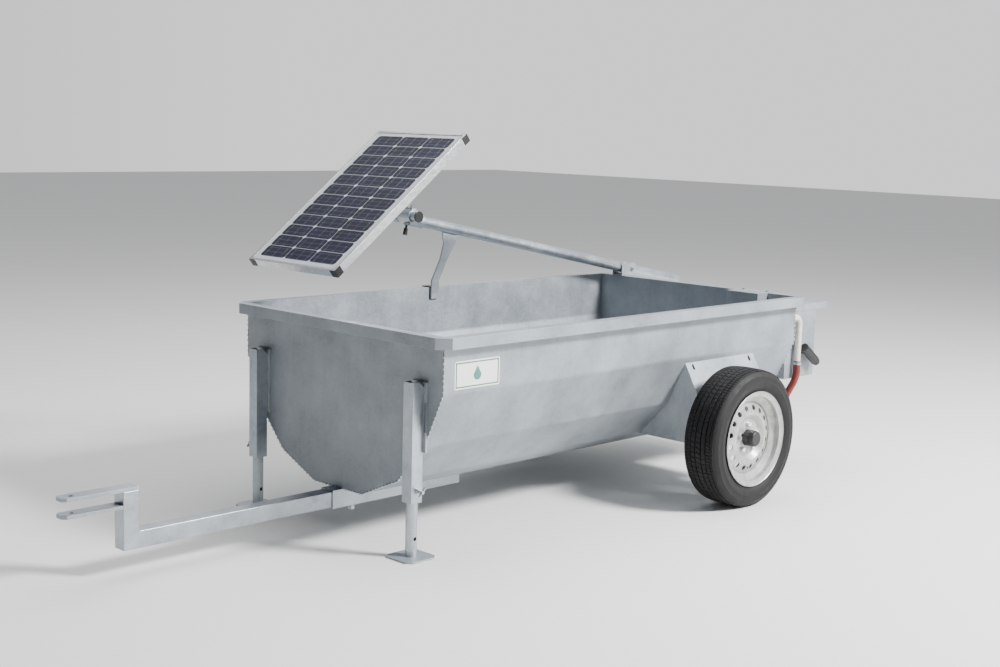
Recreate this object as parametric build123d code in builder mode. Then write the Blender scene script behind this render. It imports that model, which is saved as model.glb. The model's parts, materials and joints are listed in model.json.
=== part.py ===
from build123d import *
import math
import os

os.makedirs("parts", exist_ok=True)

# A livestock drinking trough on two wheels, filled by a solar pump. All sizes are in millimetres.
# +X runs to the rear, -X to the hitch, +Y to the trailer's right-hand side and +Z up. The origin lies on
# the ground, in the middle of the overall length and width. Stations along X are measured from the
# front edge of the rim, whose own place follows from the overall length at the end of this block.

# trough
rim_length = 2230
rim_width = 1230
rim_height = 800
rim_flange = 43
rim_lip = 41
rim_corner = 43
sheet = 3
upper_bend_z = 595
middle_bend_z = 393
middle_bend_inset = 94
lower_bend_z = 247
lower_bend_inset = 233
floor_z = 160
floor_inset = 431

# wheels and their brackets
axle_station = 1538
tyre_radius = 285
tyre_width = 172
track_outset = 190
bead_radius = 180
rim_seat_half = 69
tyre_wall = 14
tyre_clinch = 20
tyre_shoulder_drop = 15
tyre_shoulder_inset = 11
tread_drop = 4
tread_inset = 18
sidewall_rise = 48
liner_drop = 8
rim_sheet = 4
rim_well_depth = 26
rim_edge_rise = 17
rim_edge_width = 12
disc_offset = 32
disc_thickness = 4
disc_step = 16
bolt_circle_radius = 56
bolt_count = 5
wheel_bolt_radius = 6
wheel_bolt_clearance = 0.5
wheel_bolt_across = 20
wheel_bolt_head = 13
vent_circle_radius = 125
vent_count = 16
vent_radius = 11
hub_radius = 40
hub_bore_radius = 26
hub_flange_radius = 72
hub_flange = 10
hub_gap = 15
hub_nose = 26
hub_cap_radius = 34
hub_cap_length = 22
hub_cap_wall = 3
hub_cap_round = 5
stub_radius = 19
stub_past_nose = 9
axle_nut_width = 12
axle_nut_factor = 1.35
bearing_width = 18
bearing_clearance = 0.05
bracket_front_station = 1415
bracket_rear_station = 1890
bracket_top_z = 572
bracket_knee_z = 430
bracket_bottom_z = 240
bracket_outset = 68
bracket_plate = 6
bracket_floor = 16
bracket_slot_inset = 42
bracket_slot_length = 26
bracket_slot_width = 14

# drawbar
bar_size = 60
bar_wall = 5
sleeve_size = 70
sleeve_front_station = -6
sleeve_length = 650
sleeve_clearance = 0.4
bar_rear_station = 500
post_front_station = -880
post_top_z = 296
hitch_tip_station = -1097
hitch_plate = 12
hitch_gap = 45
hitch_hole_radius = 13
hitch_hole_inset = 38
hitch_chamfer = 14
clamp_bolt_radius = 8
clamp_bolt_station = 110
clamp_nut_height = 13

# legs
leg_inset = 115
sheath_size = 50
sheath_wall = 3.3
sheath_cut = 20
sheath_bottom_z = 201
sheath_top_z = 632
leg_mount_thickness = 8
leg_mount_margin = 14
leg_mount_bottom_z = 380
leg_mount_slot = 110
leg_radius = 21.2
leg_wall = 3.2
leg_top_z = 560
leg_hole_radius = 7
leg_hole_first_z = 71
leg_hole_pitch = 160
leg_hole_count = 3
foot_size = 140
foot_thickness = 6
foot_corner = 20
leg_screw_z = 246
leg_screw_radius = 6
leg_nut_height = 10
leg_screw_reach = 24
leg_screw_bar = 40

# mast, its bracket and its prop
mast_radius = 24.15
mast_wall = 3
mast_inset = 102
mast_angle = 11.1
mast_pivot_overhang = 28
mast_pivot_rise = 30
mast_tail = 400
mast_tail_plate = 4
mast_reach = 1496
tee_offset = 12
tee_length = 76
tee_wall = 5.7
tee_socket = 50
tee_pad = 4
tee_bolt_radius = 5
tee_bolt_pitch = 36
tee_bolt_end = 5
turning_clearance = 0.3
ear_thickness = 6
ear_before_rim = 48
ear_past_rim = 54
ear_height = 60
ear_chamfer = 8
ear_clearance = 0.7
pivot_bolt_radius = 6
pivot_bolt_end = 12
prop_reach = 1243
prop_thickness = 8
prop_top_width = 88
prop_width = 44
prop_upper_knee_rise = 204
prop_taper_rise = 134
prop_lower_knee_rise = 30
prop_foot_drop = 50
hook_thickness = 4
hook_overhang = 8
seat_gap = 0.3
nut_factor = 1.8
head_factor = 0.7

# solar panel and its head
panel_length = 870
panel_width = 558
panel_depth = 35
panel_angle = 37.7
panel_centre_station = 516
panel_centre_z = 1218
frame_face = 11
frame_wall = 2
frame_foot = 35
glass = 4
glass_recess = 1.5
cap_leg = 34
cap_wall = 1.6
rail_height = 14
rail_inset = 25
rail_width = 34
rail_wall = 3
rail_spread = 130
plate_width = 210
plate_thickness = 6
arm_collar_width = 36
arm_collar_wall = 6
arm_width = 30
arm_depth = 40
spindle_near_reach = 66
spindle_end_cap = 6
spindle_plug = 14
spindle_far_end = 12
collar_gap = 4
knob_seat = 10
knob_screw_radius = 5
knob_boss_factor = 2.2
knob_neck_radius = 9
knob_neck = 14
knob_reach = 42
knob_width = 50
knob_height = 15
knob_depth = 18
knob_turn = 45
junction_length = 110
junction_width = 90
junction_height = 22
junction_corner = 6

# pump box behind the trough
box_side_inset = 42
box_width = 440
box_depth = 233
box_bottom_z = 418
box_sheet = 2
lid_drop = 48
lid_skirt = 30
lid_overhang = 84
lid_hinge_setback = 52
lid_gap = 1
lid_side_gap = 2
hinge_barrel_radius = 4
hinge_length = 60
hinge_leaf = 1.5
hinge_leaf_width = 24
battery_length = 150
battery_width = 150
battery_height = 170
battery_gap = 20
battery_side_gap = 12
battery_corner = 5
terminal_radius = 8
terminal_height = 15
terminal_inset = 25
pump_radius = 48
pump_length = 150
pump_gap = 25
pump_side_gap = 60
pump_lift = 12
pump_nose = 22
pump_nose_factor = 0.62
pump_foot = 18
pump_foot_share = 0.7
controller_width = 126
controller_height = 90
controller_depth = 32
controller_corner = 6
controller_side = 130
controller_drop = 90

# water line and float valve
riser_radius = 14
riser_setback = 65
riser_side_inset = 19
riser_bottom_z = 499
riser_wall_drop = 100
riser_inside_reach = 42
riser_bend = 32
valve_side_inset = 160
hose_radius = 16
hose_end_setback = 103
hose_end_side = 200
hose_run_share = 0.45
hose_tail = 22
hose_tail_radius = 12
hose_tail_nut = 8
hose_tail_factor = 1.5
clip_width = 12
clip_drop = 16
clip_wall = 1.5
suction_radius = 21
suction_setback = 113
suction_z = 548
suction_angle = 36
suction_length = 120
suction_stub = 14
suction_inside = 14
suction_nozzle = 14
suction_nozzle_factor = 0.82
guard_side_inset = 150
guard_width = 172
guard_depth = 78
guard_drop = 204
guard_sheet = 2
guard_clearance = 4
rim_bolt_radius = 4
rim_bolt_inset = 22
valve_length = 46
valve_size = 34
float_radius = 26
float_length = 60
float_arm_radius = 3
float_arm_length = 44
float_pivot_drop = 24
float_eye_radius = 6
float_lug_radius = 7
float_slot = 18
float_corner = 8

# the overall length puts the rim's front edge at its place from the origin
lean = math.radians(mast_angle)
mast_pivot_station = rim_length + mast_pivot_overhang
tail_end = mast_pivot_station + mast_tail * math.cos(lean) + mast_radius * math.sin(lean)
rim_front = -(hitch_tip_station + tail_end) / 2


def at(station):
    """X of a station that is measured from the rim's front edge."""
    return rim_front + station


def across(x):
    """Plane at X whose own axes are Y and Z."""
    return Plane.YZ.offset(x)


def alongside(y):
    """Plane at Y whose own axes are X and Z; it faces -Y."""
    return Plane.XZ.offset(-y)


def save(builder, name):
    builder.part.label = name
    export_step(builder.part, "parts/" + name + ".step")


# ---- trough -------------------------------------------------------------------------------------------

wall_y = rim_width / 2 - rim_flange
wall_front = at(rim_flange)
wall_rear = at(rim_length - rim_flange)
rim_middle = at(rim_length / 2)
rim_rear = at(rim_length)
middle_bend_y = wall_y - middle_bend_inset
lower_bend_y = wall_y - lower_bend_inset
floor_y = wall_y - floor_inset
riser_y = riser_side_inset - wall_y
riser_wall_z = rim_height - riser_wall_drop

section = [
    (wall_y, rim_height),
    (wall_y, upper_bend_z),
    (middle_bend_y, middle_bend_z),
    (lower_bend_y, lower_bend_z),
    (floor_y, floor_z),
]
outline = section + [(-y, z) for y, z in reversed(section)]


def wall_outside(z):
    """Half-width of the trough's outside at a height."""
    for (upper_y, upper_z), (lower_y, lower_z) in zip(section, section[1:]):
        if lower_z <= z <= upper_z:
            return lower_y + (upper_y - lower_y) * (z - lower_z) / (upper_z - lower_z)


with BuildPart() as trough_shell:
    with BuildSketch(across(wall_front + sheet)):
        with BuildLine():
            Polyline(*outline, close=True)
        make_face()
    extrude(amount=wall_rear - wall_front - 2 * sheet)
    ends = trough_shell.faces().filter_by(Axis.X)
    top = trough_shell.faces().sort_by(Axis.Z)[-1:]
    offset(amount=-sheet, openings=ends + top)
save(trough_shell, "trough_shell")

with BuildPart() as end_plates:
    for end_x in (wall_front, wall_rear - sheet):
        with BuildSketch(across(end_x)):
            with BuildLine():
                Polyline(*outline, close=True)
            make_face()
        extrude(amount=sheet)
    with BuildSketch(across(wall_rear + 1)):
        with Locations((riser_y, riser_wall_z)):
            Circle(riser_radius + seat_gap)
    extrude(amount=-(sheet + 2), mode=Mode.SUBTRACT)
save(end_plates, "end_plates")


def rim_outline():
    """Rim outline with cut corners, drawn in the open sketch."""
    with Locations((rim_middle, 0)):
        Rectangle(rim_length, rim_width)
    chamfer(vertices(), rim_corner)


with BuildPart() as rim_frame:
    with BuildSketch(Plane.XY.offset(rim_height)):
        rim_outline()
        with Locations((rim_middle, 0)):
            Rectangle(rim_length - 2 * rim_flange, 2 * wall_y, mode=Mode.SUBTRACT)
    extrude(amount=-sheet)
    with BuildSketch(Plane.XY.offset(rim_height - sheet)):
        rim_outline()
        offset(amount=-sheet, kind=Kind.INTERSECTION, mode=Mode.SUBTRACT)
    extrude(amount=-(rim_lip - sheet))
save(rim_frame, "rim_frame")

# ---- drawbar sleeve under the floor --------------------------------------------------------------------

sleeve_front = at(sleeve_front_station)
sleeve_middle_z = floor_z - sleeve_size / 2
sleeve_bottom_z = floor_z - sleeve_size
sleeve_bore = bar_size + 2 * sleeve_clearance
bar_bottom_z = sleeve_middle_z - bar_size / 2
clamp_bolt_x = at(clamp_bolt_station)
clamp_head_z = sleeve_bottom_z - clamp_nut_height

with BuildPart() as drawbar_sleeve:
    with BuildSketch(across(sleeve_front)):
        with Locations((0, sleeve_middle_z)):
            Rectangle(sleeve_size, sleeve_size)
            Rectangle(sleeve_bore, sleeve_bore, mode=Mode.SUBTRACT)
    extrude(amount=sleeve_length)
    with BuildSketch(Plane.XY.offset(sleeve_bottom_z)):
        with Locations((clamp_bolt_x, 0)):
            RegularPolygon(clamp_bolt_radius * nut_factor, 6)
    extrude(amount=-clamp_nut_height)
    with BuildSketch(Plane.XY.offset(clamp_head_z)):
        with Locations((clamp_bolt_x, 0)):
            Circle(clamp_bolt_radius + seat_gap)
    extrude(amount=sleeve_size / 2, mode=Mode.SUBTRACT)
save(drawbar_sleeve, "drawbar_sleeve")

with BuildPart() as drawbar_clamp_bolt:
    with BuildSketch(Plane.XY.offset(clamp_head_z - seat_gap)):
        with Locations((clamp_bolt_x, 0)):
            Circle(clamp_bolt_radius)
    extrude(amount=bar_bottom_z - clamp_head_z)
    with BuildSketch(Plane.XY.offset(clamp_head_z - seat_gap)):
        with Locations((clamp_bolt_x, 0)):
            RegularPolygon(clamp_bolt_radius * nut_factor, 6)
    extrude(amount=-clamp_bolt_radius * 2 * head_factor)
save(drawbar_clamp_bolt, "drawbar_clamp_bolt")

# ---- drawbar with its hitch ----------------------------------------------------------------------------

post_front = at(post_front_station)
bar_rear = at(bar_rear_station)
hitch_tip = at(hitch_tip_station)
hitch_hole_x = hitch_tip + hitch_hole_inset
bar_top_z = bar_bottom_z + bar_size
lower_plate_top = post_top_z - hitch_gap

with BuildPart() as drawbar:
    with BuildSketch(alongside(0)):
        with BuildLine():
            Polyline(
                (post_front, bar_bottom_z),
                (bar_rear, bar_bottom_z),
                (bar_rear, bar_top_z),
                (post_front + bar_size, bar_top_z),
                (post_front + bar_size, post_top_z),
                (post_front, post_top_z),
                close=True,
            )
        make_face()
    extrude(amount=bar_size / 2, both=True)
    with BuildSketch(alongside(0)):
        with BuildLine():
            Polyline(
                (post_front + bar_wall, bar_bottom_z + bar_wall),
                (bar_rear, bar_bottom_z + bar_wall),
                (bar_rear, bar_top_z - bar_wall),
                (post_front + bar_size - bar_wall, bar_top_z - bar_wall),
                (post_front + bar_size - bar_wall, post_top_z),
                (post_front + bar_wall, post_top_z),
                close=True,
            )
        make_face()
    extrude(amount=bar_size / 2 - bar_wall, both=True, mode=Mode.SUBTRACT)
save(drawbar, "drawbar")


def hitch_outline(rear):
    """Flat bar from the hitch tip to the given X, with cut corners at the tip and the pin hole."""
    with Locations(((hitch_tip + rear) / 2, 0)):
        Rectangle(rear - hitch_tip, bar_size)
    chamfer(vertices().sort_by(Axis.X)[:2], hitch_chamfer)
    with Locations((hitch_hole_x, 0)):
        Circle(hitch_hole_radius, mode=Mode.SUBTRACT)


with BuildPart() as hitch_plates:
    with BuildSketch(Plane.XY.offset(post_top_z)):
        hitch_outline(post_front + bar_size)
    extrude(amount=hitch_plate)
    with BuildSketch(Plane.XY.offset(lower_plate_top)):
        hitch_outline(post_front)
    extrude(amount=-hitch_plate)
save(hitch_plates, "hitch_plates")

# ---- legs ----------------------------------------------------------------------------------------------

leg_y = wall_y - leg_inset
sheath_rear = wall_front - leg_mount_thickness
sheath_x = sheath_rear - sheath_size / 2
sheath_bore = sheath_size - 2 * sheath_wall
sheath_outer_y = leg_y + sheath_size / 2
mount_width = sheath_size + 2 * leg_mount_margin
slot_y = leg_y + sheath_size / 2 + leg_mount_margin / 2
mount_height = sheath_top_z - leg_mount_bottom_z
mount_middle_z = (sheath_top_z + leg_mount_bottom_z) / 2

with BuildPart() as leg_mounts:
    with BuildSketch(across(wall_front)):
        with Locations((-leg_y, mount_middle_z), (leg_y, mount_middle_z)):
            Rectangle(mount_width, mount_height)
        with Locations((-slot_y, mount_middle_z), (slot_y, mount_middle_z)):
            SlotOverall(leg_mount_slot, leg_mount_margin / 2, rotation=90, mode=Mode.SUBTRACT)
    extrude(amount=-leg_mount_thickness)
save(leg_mounts, "leg_mounts")

leg_nut_face = sheath_outer_y + leg_nut_height
bore_half = sheath_bore / 2

with BuildPart() as leg_sheaths:
    for side in (-1, 1):
        with BuildSketch(Plane.XY.offset(sheath_bottom_z)):
            with Locations((sheath_x, side * leg_y)):
                Rectangle(sheath_size, sheath_size)
                Rectangle(sheath_bore, sheath_bore, mode=Mode.SUBTRACT)
        extrude(amount=sheath_top_z - sheath_bottom_z)
        with BuildSketch(alongside(side * leg_y)):
            Polygon(
                (sheath_rear - sheath_cut, sheath_top_z),
                (sheath_rear, sheath_top_z - sheath_cut),
                (sheath_rear, sheath_top_z),
                align=None,
            )
        extrude(amount=sheath_size, both=True, mode=Mode.SUBTRACT)
        with BuildSketch(alongside(side * sheath_outer_y)):
            with Locations((sheath_x, leg_screw_z)):
                RegularPolygon(leg_screw_radius * nut_factor, 6)
        extrude(amount=-side * leg_nut_height)
        with BuildSketch(alongside(side * (leg_y + bore_half - 1))):
            with Locations((sheath_x, leg_screw_z)):
                Circle(leg_screw_radius + seat_gap)
        extrude(amount=-side * (leg_nut_height + sheath_wall + 2), mode=Mode.SUBTRACT)
save(leg_sheaths, "leg_sheaths")

leg_bottom_z = foot_thickness
screw_tip_y = leg_y + leg_radius + seat_gap
screw_head_y = leg_nut_face + leg_screw_reach

for side, name in ((-1, "left"), (1, "right")):
    with BuildPart() as leg_tube:
        with BuildSketch(Plane.XY.offset(leg_bottom_z)):
            with Locations((sheath_x, side * leg_y)):
                Circle(leg_radius)
                Circle(leg_radius - leg_wall, mode=Mode.SUBTRACT)
        extrude(amount=leg_top_z - leg_bottom_z)
        hole_heights = [leg_hole_first_z + n * leg_hole_pitch for n in range(leg_hole_count)]
        with BuildSketch(alongside(side * leg_y)):
            with Locations(*[(sheath_x, z) for z in hole_heights]):
                Circle(leg_hole_radius)
        extrude(amount=leg_radius + 1, both=True, mode=Mode.SUBTRACT)
    save(leg_tube, "leg_tube_" + name)

    with BuildPart() as foot_plate:
        with BuildSketch():
            with Locations((sheath_x, side * leg_y)):
                Rectangle(foot_size, foot_size)
            chamfer(vertices(), foot_corner)
        extrude(amount=foot_thickness)
    save(foot_plate, "foot_plate_" + name)

    with BuildPart() as leg_screw:
        with BuildSketch(alongside(side * screw_tip_y)):
            with Locations((sheath_x, leg_screw_z)):
                Circle(leg_screw_radius)
        extrude(amount=-side * (screw_head_y - screw_tip_y))
        handle_y = side * (screw_head_y - leg_screw_radius)
        handle_plane = Plane((sheath_x, handle_y, leg_screw_z), x_dir=(0, 1, 0), z_dir=(1, 0, 1))
        with BuildSketch(handle_plane):
            Circle(leg_screw_radius * head_factor)
        extrude(amount=leg_screw_bar / 2, both=True)
    save(leg_screw, "leg_screw_" + name)

# ---- axle brackets, stub axles and wheels --------------------------------------------------------------

track_half = wall_y + track_outset
bracket_outer_y = wall_y + bracket_outset
hub_inner_y = bracket_outer_y + hub_gap
axle_x = at(axle_station)
axle_z = tyre_radius
bracket_front = at(bracket_front_station)
bracket_rear = at(bracket_rear_station)
bracket_length = bracket_rear - bracket_front
bracket_floor_top = bracket_bottom_z + bracket_floor
bracket_inner_y = wall_outside(bracket_bottom_z)


def bracket_outline(side):
    """Section of the bracket: it follows the trough's folds inside and the wheel outside."""
    points = [
        (wall_outside(bracket_top_z), bracket_top_z),
        (bracket_outer_y, bracket_knee_z),
        (bracket_outer_y, bracket_bottom_z),
        (bracket_inner_y, bracket_bottom_z),
        (lower_bend_y, lower_bend_z),
        (middle_bend_y, middle_bend_z),
    ]
    return [(side * y, z) for y, z in points]


def bracket_hollow(side):
    """Space inside the bracket, between its cover, its floor and the trough."""
    knee_drop = bracket_plate * 2
    points = [
        (wall_outside(bracket_top_z) - bracket_plate, bracket_top_z - knee_drop),
        (bracket_outer_y - bracket_plate, bracket_knee_z - bracket_plate),
        (bracket_outer_y - bracket_plate, bracket_floor_top),
        (bracket_inner_y - bracket_plate, bracket_floor_top),
        (lower_bend_y - knee_drop, lower_bend_z),
        (middle_bend_y - knee_drop, middle_bend_z),
    ]
    return [(side * y, z) for y, z in points]


cover_run = bracket_outer_y - wall_outside(bracket_top_z)
cover_rise = bracket_top_z - bracket_knee_z
cover_slope = math.hypot(cover_run, cover_rise)
slot_share = bracket_slot_inset / cover_slope / 2
bracket_slot_y = wall_outside(bracket_top_z) + cover_run * slot_share
bracket_slot_z = bracket_top_z - cover_rise * slot_share

with BuildPart() as axle_brackets:
    for side in (-1, 1):
        with BuildSketch(across(bracket_front)):
            Polygon(*bracket_outline(side), align=None)
        extrude(amount=bracket_length)
        with BuildSketch(across(bracket_front + bracket_plate)):
            Polygon(*bracket_hollow(side), align=None)
        extrude(amount=bracket_length - 2 * bracket_plate, mode=Mode.SUBTRACT)
        with BuildSketch(alongside(side * (bracket_outer_y + 1))):
            with Locations((axle_x, axle_z)):
                Circle(stub_radius)
        extrude(amount=side * (bracket_plate + 2), mode=Mode.SUBTRACT)
        cover_plane = Plane(
            (0, side * bracket_slot_y, bracket_slot_z),
            x_dir=(1, 0, 0),
            z_dir=(0, side * cover_rise, cover_run),
        )
        with BuildSketch(cover_plane):
            with Locations((bracket_front + bracket_slot_inset, 0), (bracket_rear - bracket_slot_inset, 0)):
                SlotOverall(bracket_slot_length, bracket_slot_width, rotation=90)
        extrude(amount=-2 * bracket_plate, mode=Mode.SUBTRACT)
save(axle_brackets, "axle_brackets")


axle = Axis((axle_x, 0, axle_z), (0, 1, 0))


def turned(side, points):
    """Profile that is turned about the axle, drawn in the open sketch; points are (outward Y, radius)."""
    Polygon(*[(side * y, axle_z + r) for y, r in points], align=None)


hub_face_y = track_half + disc_offset
hub_flange_y = hub_face_y - hub_flange
hub_nose_y = hub_face_y + disc_thickness + hub_nose
outer_bearing_y = hub_nose_y - bearing_width
stub_end_y = hub_nose_y + stub_past_nose
cap_end_y = hub_nose_y + hub_cap_length

with BuildPart() as stub_axles:
    for side in (-1, 1):
        with BuildSketch(alongside(side * (bracket_outer_y - bracket_plate))):
            with Locations((axle_x, axle_z)):
                Circle(stub_radius)
        extrude(amount=-side * (stub_end_y - bracket_outer_y + bracket_plate))
save(stub_axles, "stub_axles")

with BuildPart() as axle_nuts:
    for side in (-1, 1):
        with BuildSketch(alongside(side * (hub_nose_y + seat_gap))):
            with Locations((axle_x, axle_z)):
                RegularPolygon(stub_radius * axle_nut_factor, 6)
                Circle(stub_radius, mode=Mode.SUBTRACT)
        extrude(amount=-side * axle_nut_width)
save(axle_nuts, "axle_nuts")

with BuildPart() as wheel_bearings:
    for side in (-1, 1):
        for bearing_y in (hub_inner_y, outer_bearing_y):
            with BuildSketch(alongside(side * bearing_y)):
                with Locations((axle_x, axle_z)):
                    Circle(hub_bore_radius - bearing_clearance)
                    Circle(stub_radius, mode=Mode.SUBTRACT)
            extrude(amount=-side * bearing_width)
save(wheel_bearings, "wheel_bearings")

half = tyre_width / 2
shoulder = tyre_radius - tyre_shoulder_drop
shoulder_half = half - tyre_shoulder_inset
widest_radius = bead_radius + sidewall_rise
tread_half = half - tread_inset
tread_edge = tyre_radius - tread_drop
clinch_radius = bead_radius + tyre_clinch
toe_half = rim_seat_half - tyre_wall
liner_half = half - 2 * tyre_wall
liner_edge = shoulder - liner_drop
seat_radius = bead_radius - seat_gap
lip_y = rim_seat_half + seat_gap
well_radius = bead_radius - rim_well_depth
disc_y = track_half + disc_offset
step_y = disc_y + disc_step
bolt_hole_radius = wheel_bolt_radius + wheel_bolt_clearance


def tyre_point(side, y, r):
    """Point of the tyre's section, by its distance outward from the middle of the tread and its radius."""
    return (side * (track_half + y), axle_z + r)


def rim_section():
    """Section of the rim: its two curled edges, the bead seats and the well between them."""
    outer = [
        (-lip_y - rim_edge_width, seat_radius + rim_edge_rise - 2),
        (-lip_y - rim_edge_width + 2, seat_radius + rim_edge_rise),
        (-lip_y - rim_edge_width / 2, seat_radius + rim_edge_rise - 3),
        (-lip_y, seat_radius),
        (-46, seat_radius),
        (-36, well_radius),
        (42, well_radius),
        (54, seat_radius),
        (lip_y, seat_radius),
        (lip_y + rim_edge_width / 2, seat_radius + rim_edge_rise - 3),
        (lip_y + rim_edge_width - 2, seat_radius + rim_edge_rise),
        (lip_y + rim_edge_width, seat_radius + rim_edge_rise - 2),
    ]
    inner = [
        (lip_y + rim_edge_width - 5, seat_radius + rim_edge_rise - 7),
        (lip_y + 3, seat_radius - rim_sheet),
        (52, seat_radius - rim_sheet),
        (39, well_radius - rim_sheet),
        (-33, well_radius - rim_sheet),
        (-49, seat_radius - rim_sheet),
        (-lip_y - 3, seat_radius - rim_sheet),
        (-lip_y - rim_edge_width + 5, seat_radius + rim_edge_rise - 7),
    ]
    return [(track_half + y, r) for y, r in outer + inner]


def disc_section():
    """Section of the pressed disc: flat at the bolts, raised at the vents and turned in at the well."""
    dish_radius = hub_flange_radius + 4
    crown_inner = vent_circle_radius - vent_radius - 16
    crown_outer = crown_inner + 6
    shoulder_radius = vent_circle_radius + vent_radius + 7
    weld_radius = well_radius - 3
    return [
        (disc_y, hub_cap_radius),
        (disc_y, dish_radius + 1),
        (step_y, crown_inner + 1),
        (step_y, crown_outer - 1),
        (disc_y, shoulder_radius - 1),
        (disc_y - disc_step, weld_radius - disc_thickness),
        (disc_y - disc_step, weld_radius),
        (disc_y, weld_radius),
        (disc_y + disc_thickness, shoulder_radius + 1),
        (step_y + disc_thickness, crown_outer + 1),
        (step_y + disc_thickness, crown_inner - 1),
        (disc_y + disc_thickness, dish_radius - 1),
        (disc_y + disc_thickness, hub_cap_radius),
    ]


for side, name in ((-1, "left"), (1, "right")):
    bead_in = tyre_point(side, -rim_seat_half, bead_radius)
    bead_out = tyre_point(side, rim_seat_half, bead_radius)
    toe_in = tyre_point(side, -toe_half, bead_radius)
    toe_out = tyre_point(side, toe_half, bead_radius)
    clinch_in = tyre_point(side, -rim_seat_half, clinch_radius)
    clinch_out = tyre_point(side, rim_seat_half, clinch_radius)
    shoulder_in = tyre_point(side, -shoulder_half, shoulder)
    shoulder_out = tyre_point(side, shoulder_half, shoulder)
    tread_in = tyre_point(side, -tread_half, tread_edge)
    tread_out = tyre_point(side, tread_half, tread_edge)
    liner_in = tyre_point(side, -liner_half, liner_edge)
    liner_out = tyre_point(side, liner_half, liner_edge)
    with BuildPart() as tyre:
        with BuildSketch(across(axle_x)):
            with BuildLine():
                Line(toe_in, bead_in)
                Line(bead_in, clinch_in)
                ThreePointArc(clinch_in, tyre_point(side, -half, widest_radius), shoulder_in)
                Line(shoulder_in, tread_in)
                ThreePointArc(tread_in, tyre_point(side, 0, tyre_radius), tread_out)
                Line(tread_out, shoulder_out)
                ThreePointArc(shoulder_out, tyre_point(side, half, widest_radius), clinch_out)
                Line(clinch_out, bead_out)
                Line(bead_out, toe_out)
                ThreePointArc(toe_out, tyre_point(side, half - tyre_wall, widest_radius), liner_out)
                ThreePointArc(liner_out, tyre_point(side, 0, tyre_radius - tyre_wall), liner_in)
                ThreePointArc(liner_in, tyre_point(side, -half + tyre_wall, widest_radius), toe_in)
            make_face()
        revolve(axis=axle)
    save(tyre, "tyre_" + name)

    with BuildPart() as wheel_rim:
        with BuildSketch(across(axle_x)):
            turned(side, rim_section())
        revolve(axis=axle)
        with BuildSketch(across(axle_x)):
            turned(side, disc_section())
        revolve(axis=axle)
        with BuildSketch(alongside(side * (disc_y - 2))):
            with Locations((axle_x, axle_z)):
                with PolarLocations(vent_circle_radius, vent_count, 360 / vent_count / 2):
                    Circle(vent_radius)
        extrude(amount=-side * 2 * disc_step, mode=Mode.SUBTRACT)
        with BuildSketch(alongside(side * (disc_y - 1))):
            with Locations((axle_x, axle_z)):
                with PolarLocations(bolt_circle_radius, bolt_count, 90):
                    Circle(bolt_hole_radius)
        extrude(amount=-side * disc_step, mode=Mode.SUBTRACT)
    save(wheel_rim, "wheel_rim_" + name)

    with BuildPart() as hub:
        with BuildSketch(across(axle_x)):
            turned(side, [
                (hub_inner_y, hub_bore_radius),
                (hub_inner_y, hub_radius),
                (hub_flange_y, hub_radius),
                (hub_flange_y, hub_flange_radius),
                (hub_face_y, hub_flange_radius),
                (hub_face_y, hub_cap_radius - 1),
                (hub_nose_y, hub_cap_radius - 1),
                (hub_nose_y, hub_bore_radius),
            ])
        revolve(axis=axle)
        with BuildSketch(alongside(side * (hub_flange_y - 1))):
            with Locations((axle_x, axle_z)):
                with PolarLocations(bolt_circle_radius, bolt_count, 90):
                    Circle(bolt_hole_radius)
        extrude(amount=-side * (hub_flange + 2), mode=Mode.SUBTRACT)
    save(hub, "hub_" + name)

    with BuildPart() as hub_cap:
        with BuildSketch(across(axle_x)):
            turned(side, [
                (hub_nose_y + seat_gap, hub_bore_radius + 1),
                (hub_nose_y + seat_gap, hub_cap_radius - 1),
                (cap_end_y - hub_cap_round, hub_cap_radius - 2),
                (cap_end_y, hub_cap_radius - 2 - hub_cap_round),
                (cap_end_y, 0),
                (cap_end_y - hub_cap_wall, 0),
                (cap_end_y - hub_cap_wall, hub_bore_radius + 1),
            ])
        revolve(axis=axle)
    save(hub_cap, "hub_cap_" + name)

    with BuildPart() as wheel_bolts:
        bolt_face_y = side * (disc_y + disc_thickness + seat_gap)
        with BuildSketch(alongside(bolt_face_y)):
            with Locations((axle_x, axle_z)):
                with PolarLocations(bolt_circle_radius, bolt_count, 90):
                    RegularPolygon(wheel_bolt_across / 2, 6)
        extrude(amount=-side * wheel_bolt_head)
        with BuildSketch(alongside(bolt_face_y)):
            with Locations((axle_x, axle_z)):
                with PolarLocations(bolt_circle_radius, bolt_count, 90):
                    Circle(wheel_bolt_radius)
        extrude(amount=side * (disc_thickness + hub_flange + 2))
    save(wheel_bolts, "wheel_bolts_" + name)

# ---- mast bracket, mast and tee ------------------------------------------------------------------------

mast_y = wall_y - mast_inset
pivot_x = at(mast_pivot_station)
mast_pivot_z = rim_height + mast_pivot_rise
ear_front = rim_rear - ear_before_rim
ear_rear = rim_rear + ear_past_rim
ear_inner = mast_radius + ear_clearance
ear_top = rim_height + ear_height

with BuildPart() as mast_bracket:
    with BuildSketch(Plane.XY.offset(rim_height)):
        with Locations(((ear_front + rim_rear) / 2, mast_y)):
            Rectangle(rim_rear - ear_front, 2 * (ear_inner + ear_thickness))
    extrude(amount=ear_thickness)
    for side in (-1, 1):
        with BuildSketch(alongside(mast_y + side * ear_inner)):
            with Locations(((ear_front + ear_rear) / 2, (rim_height + ear_top) / 2)):
                Rectangle(ear_rear - ear_front, ear_height)
            chamfer(vertices().sort_by(Axis.Y)[-2:], ear_chamfer)
            with Locations((pivot_x, mast_pivot_z)):
                Circle(pivot_bolt_radius + seat_gap, mode=Mode.SUBTRACT)
        extrude(amount=-side * ear_thickness)
save(mast_bracket, "mast_bracket")

bolt_half = ear_inner + ear_thickness + seat_gap

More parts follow.
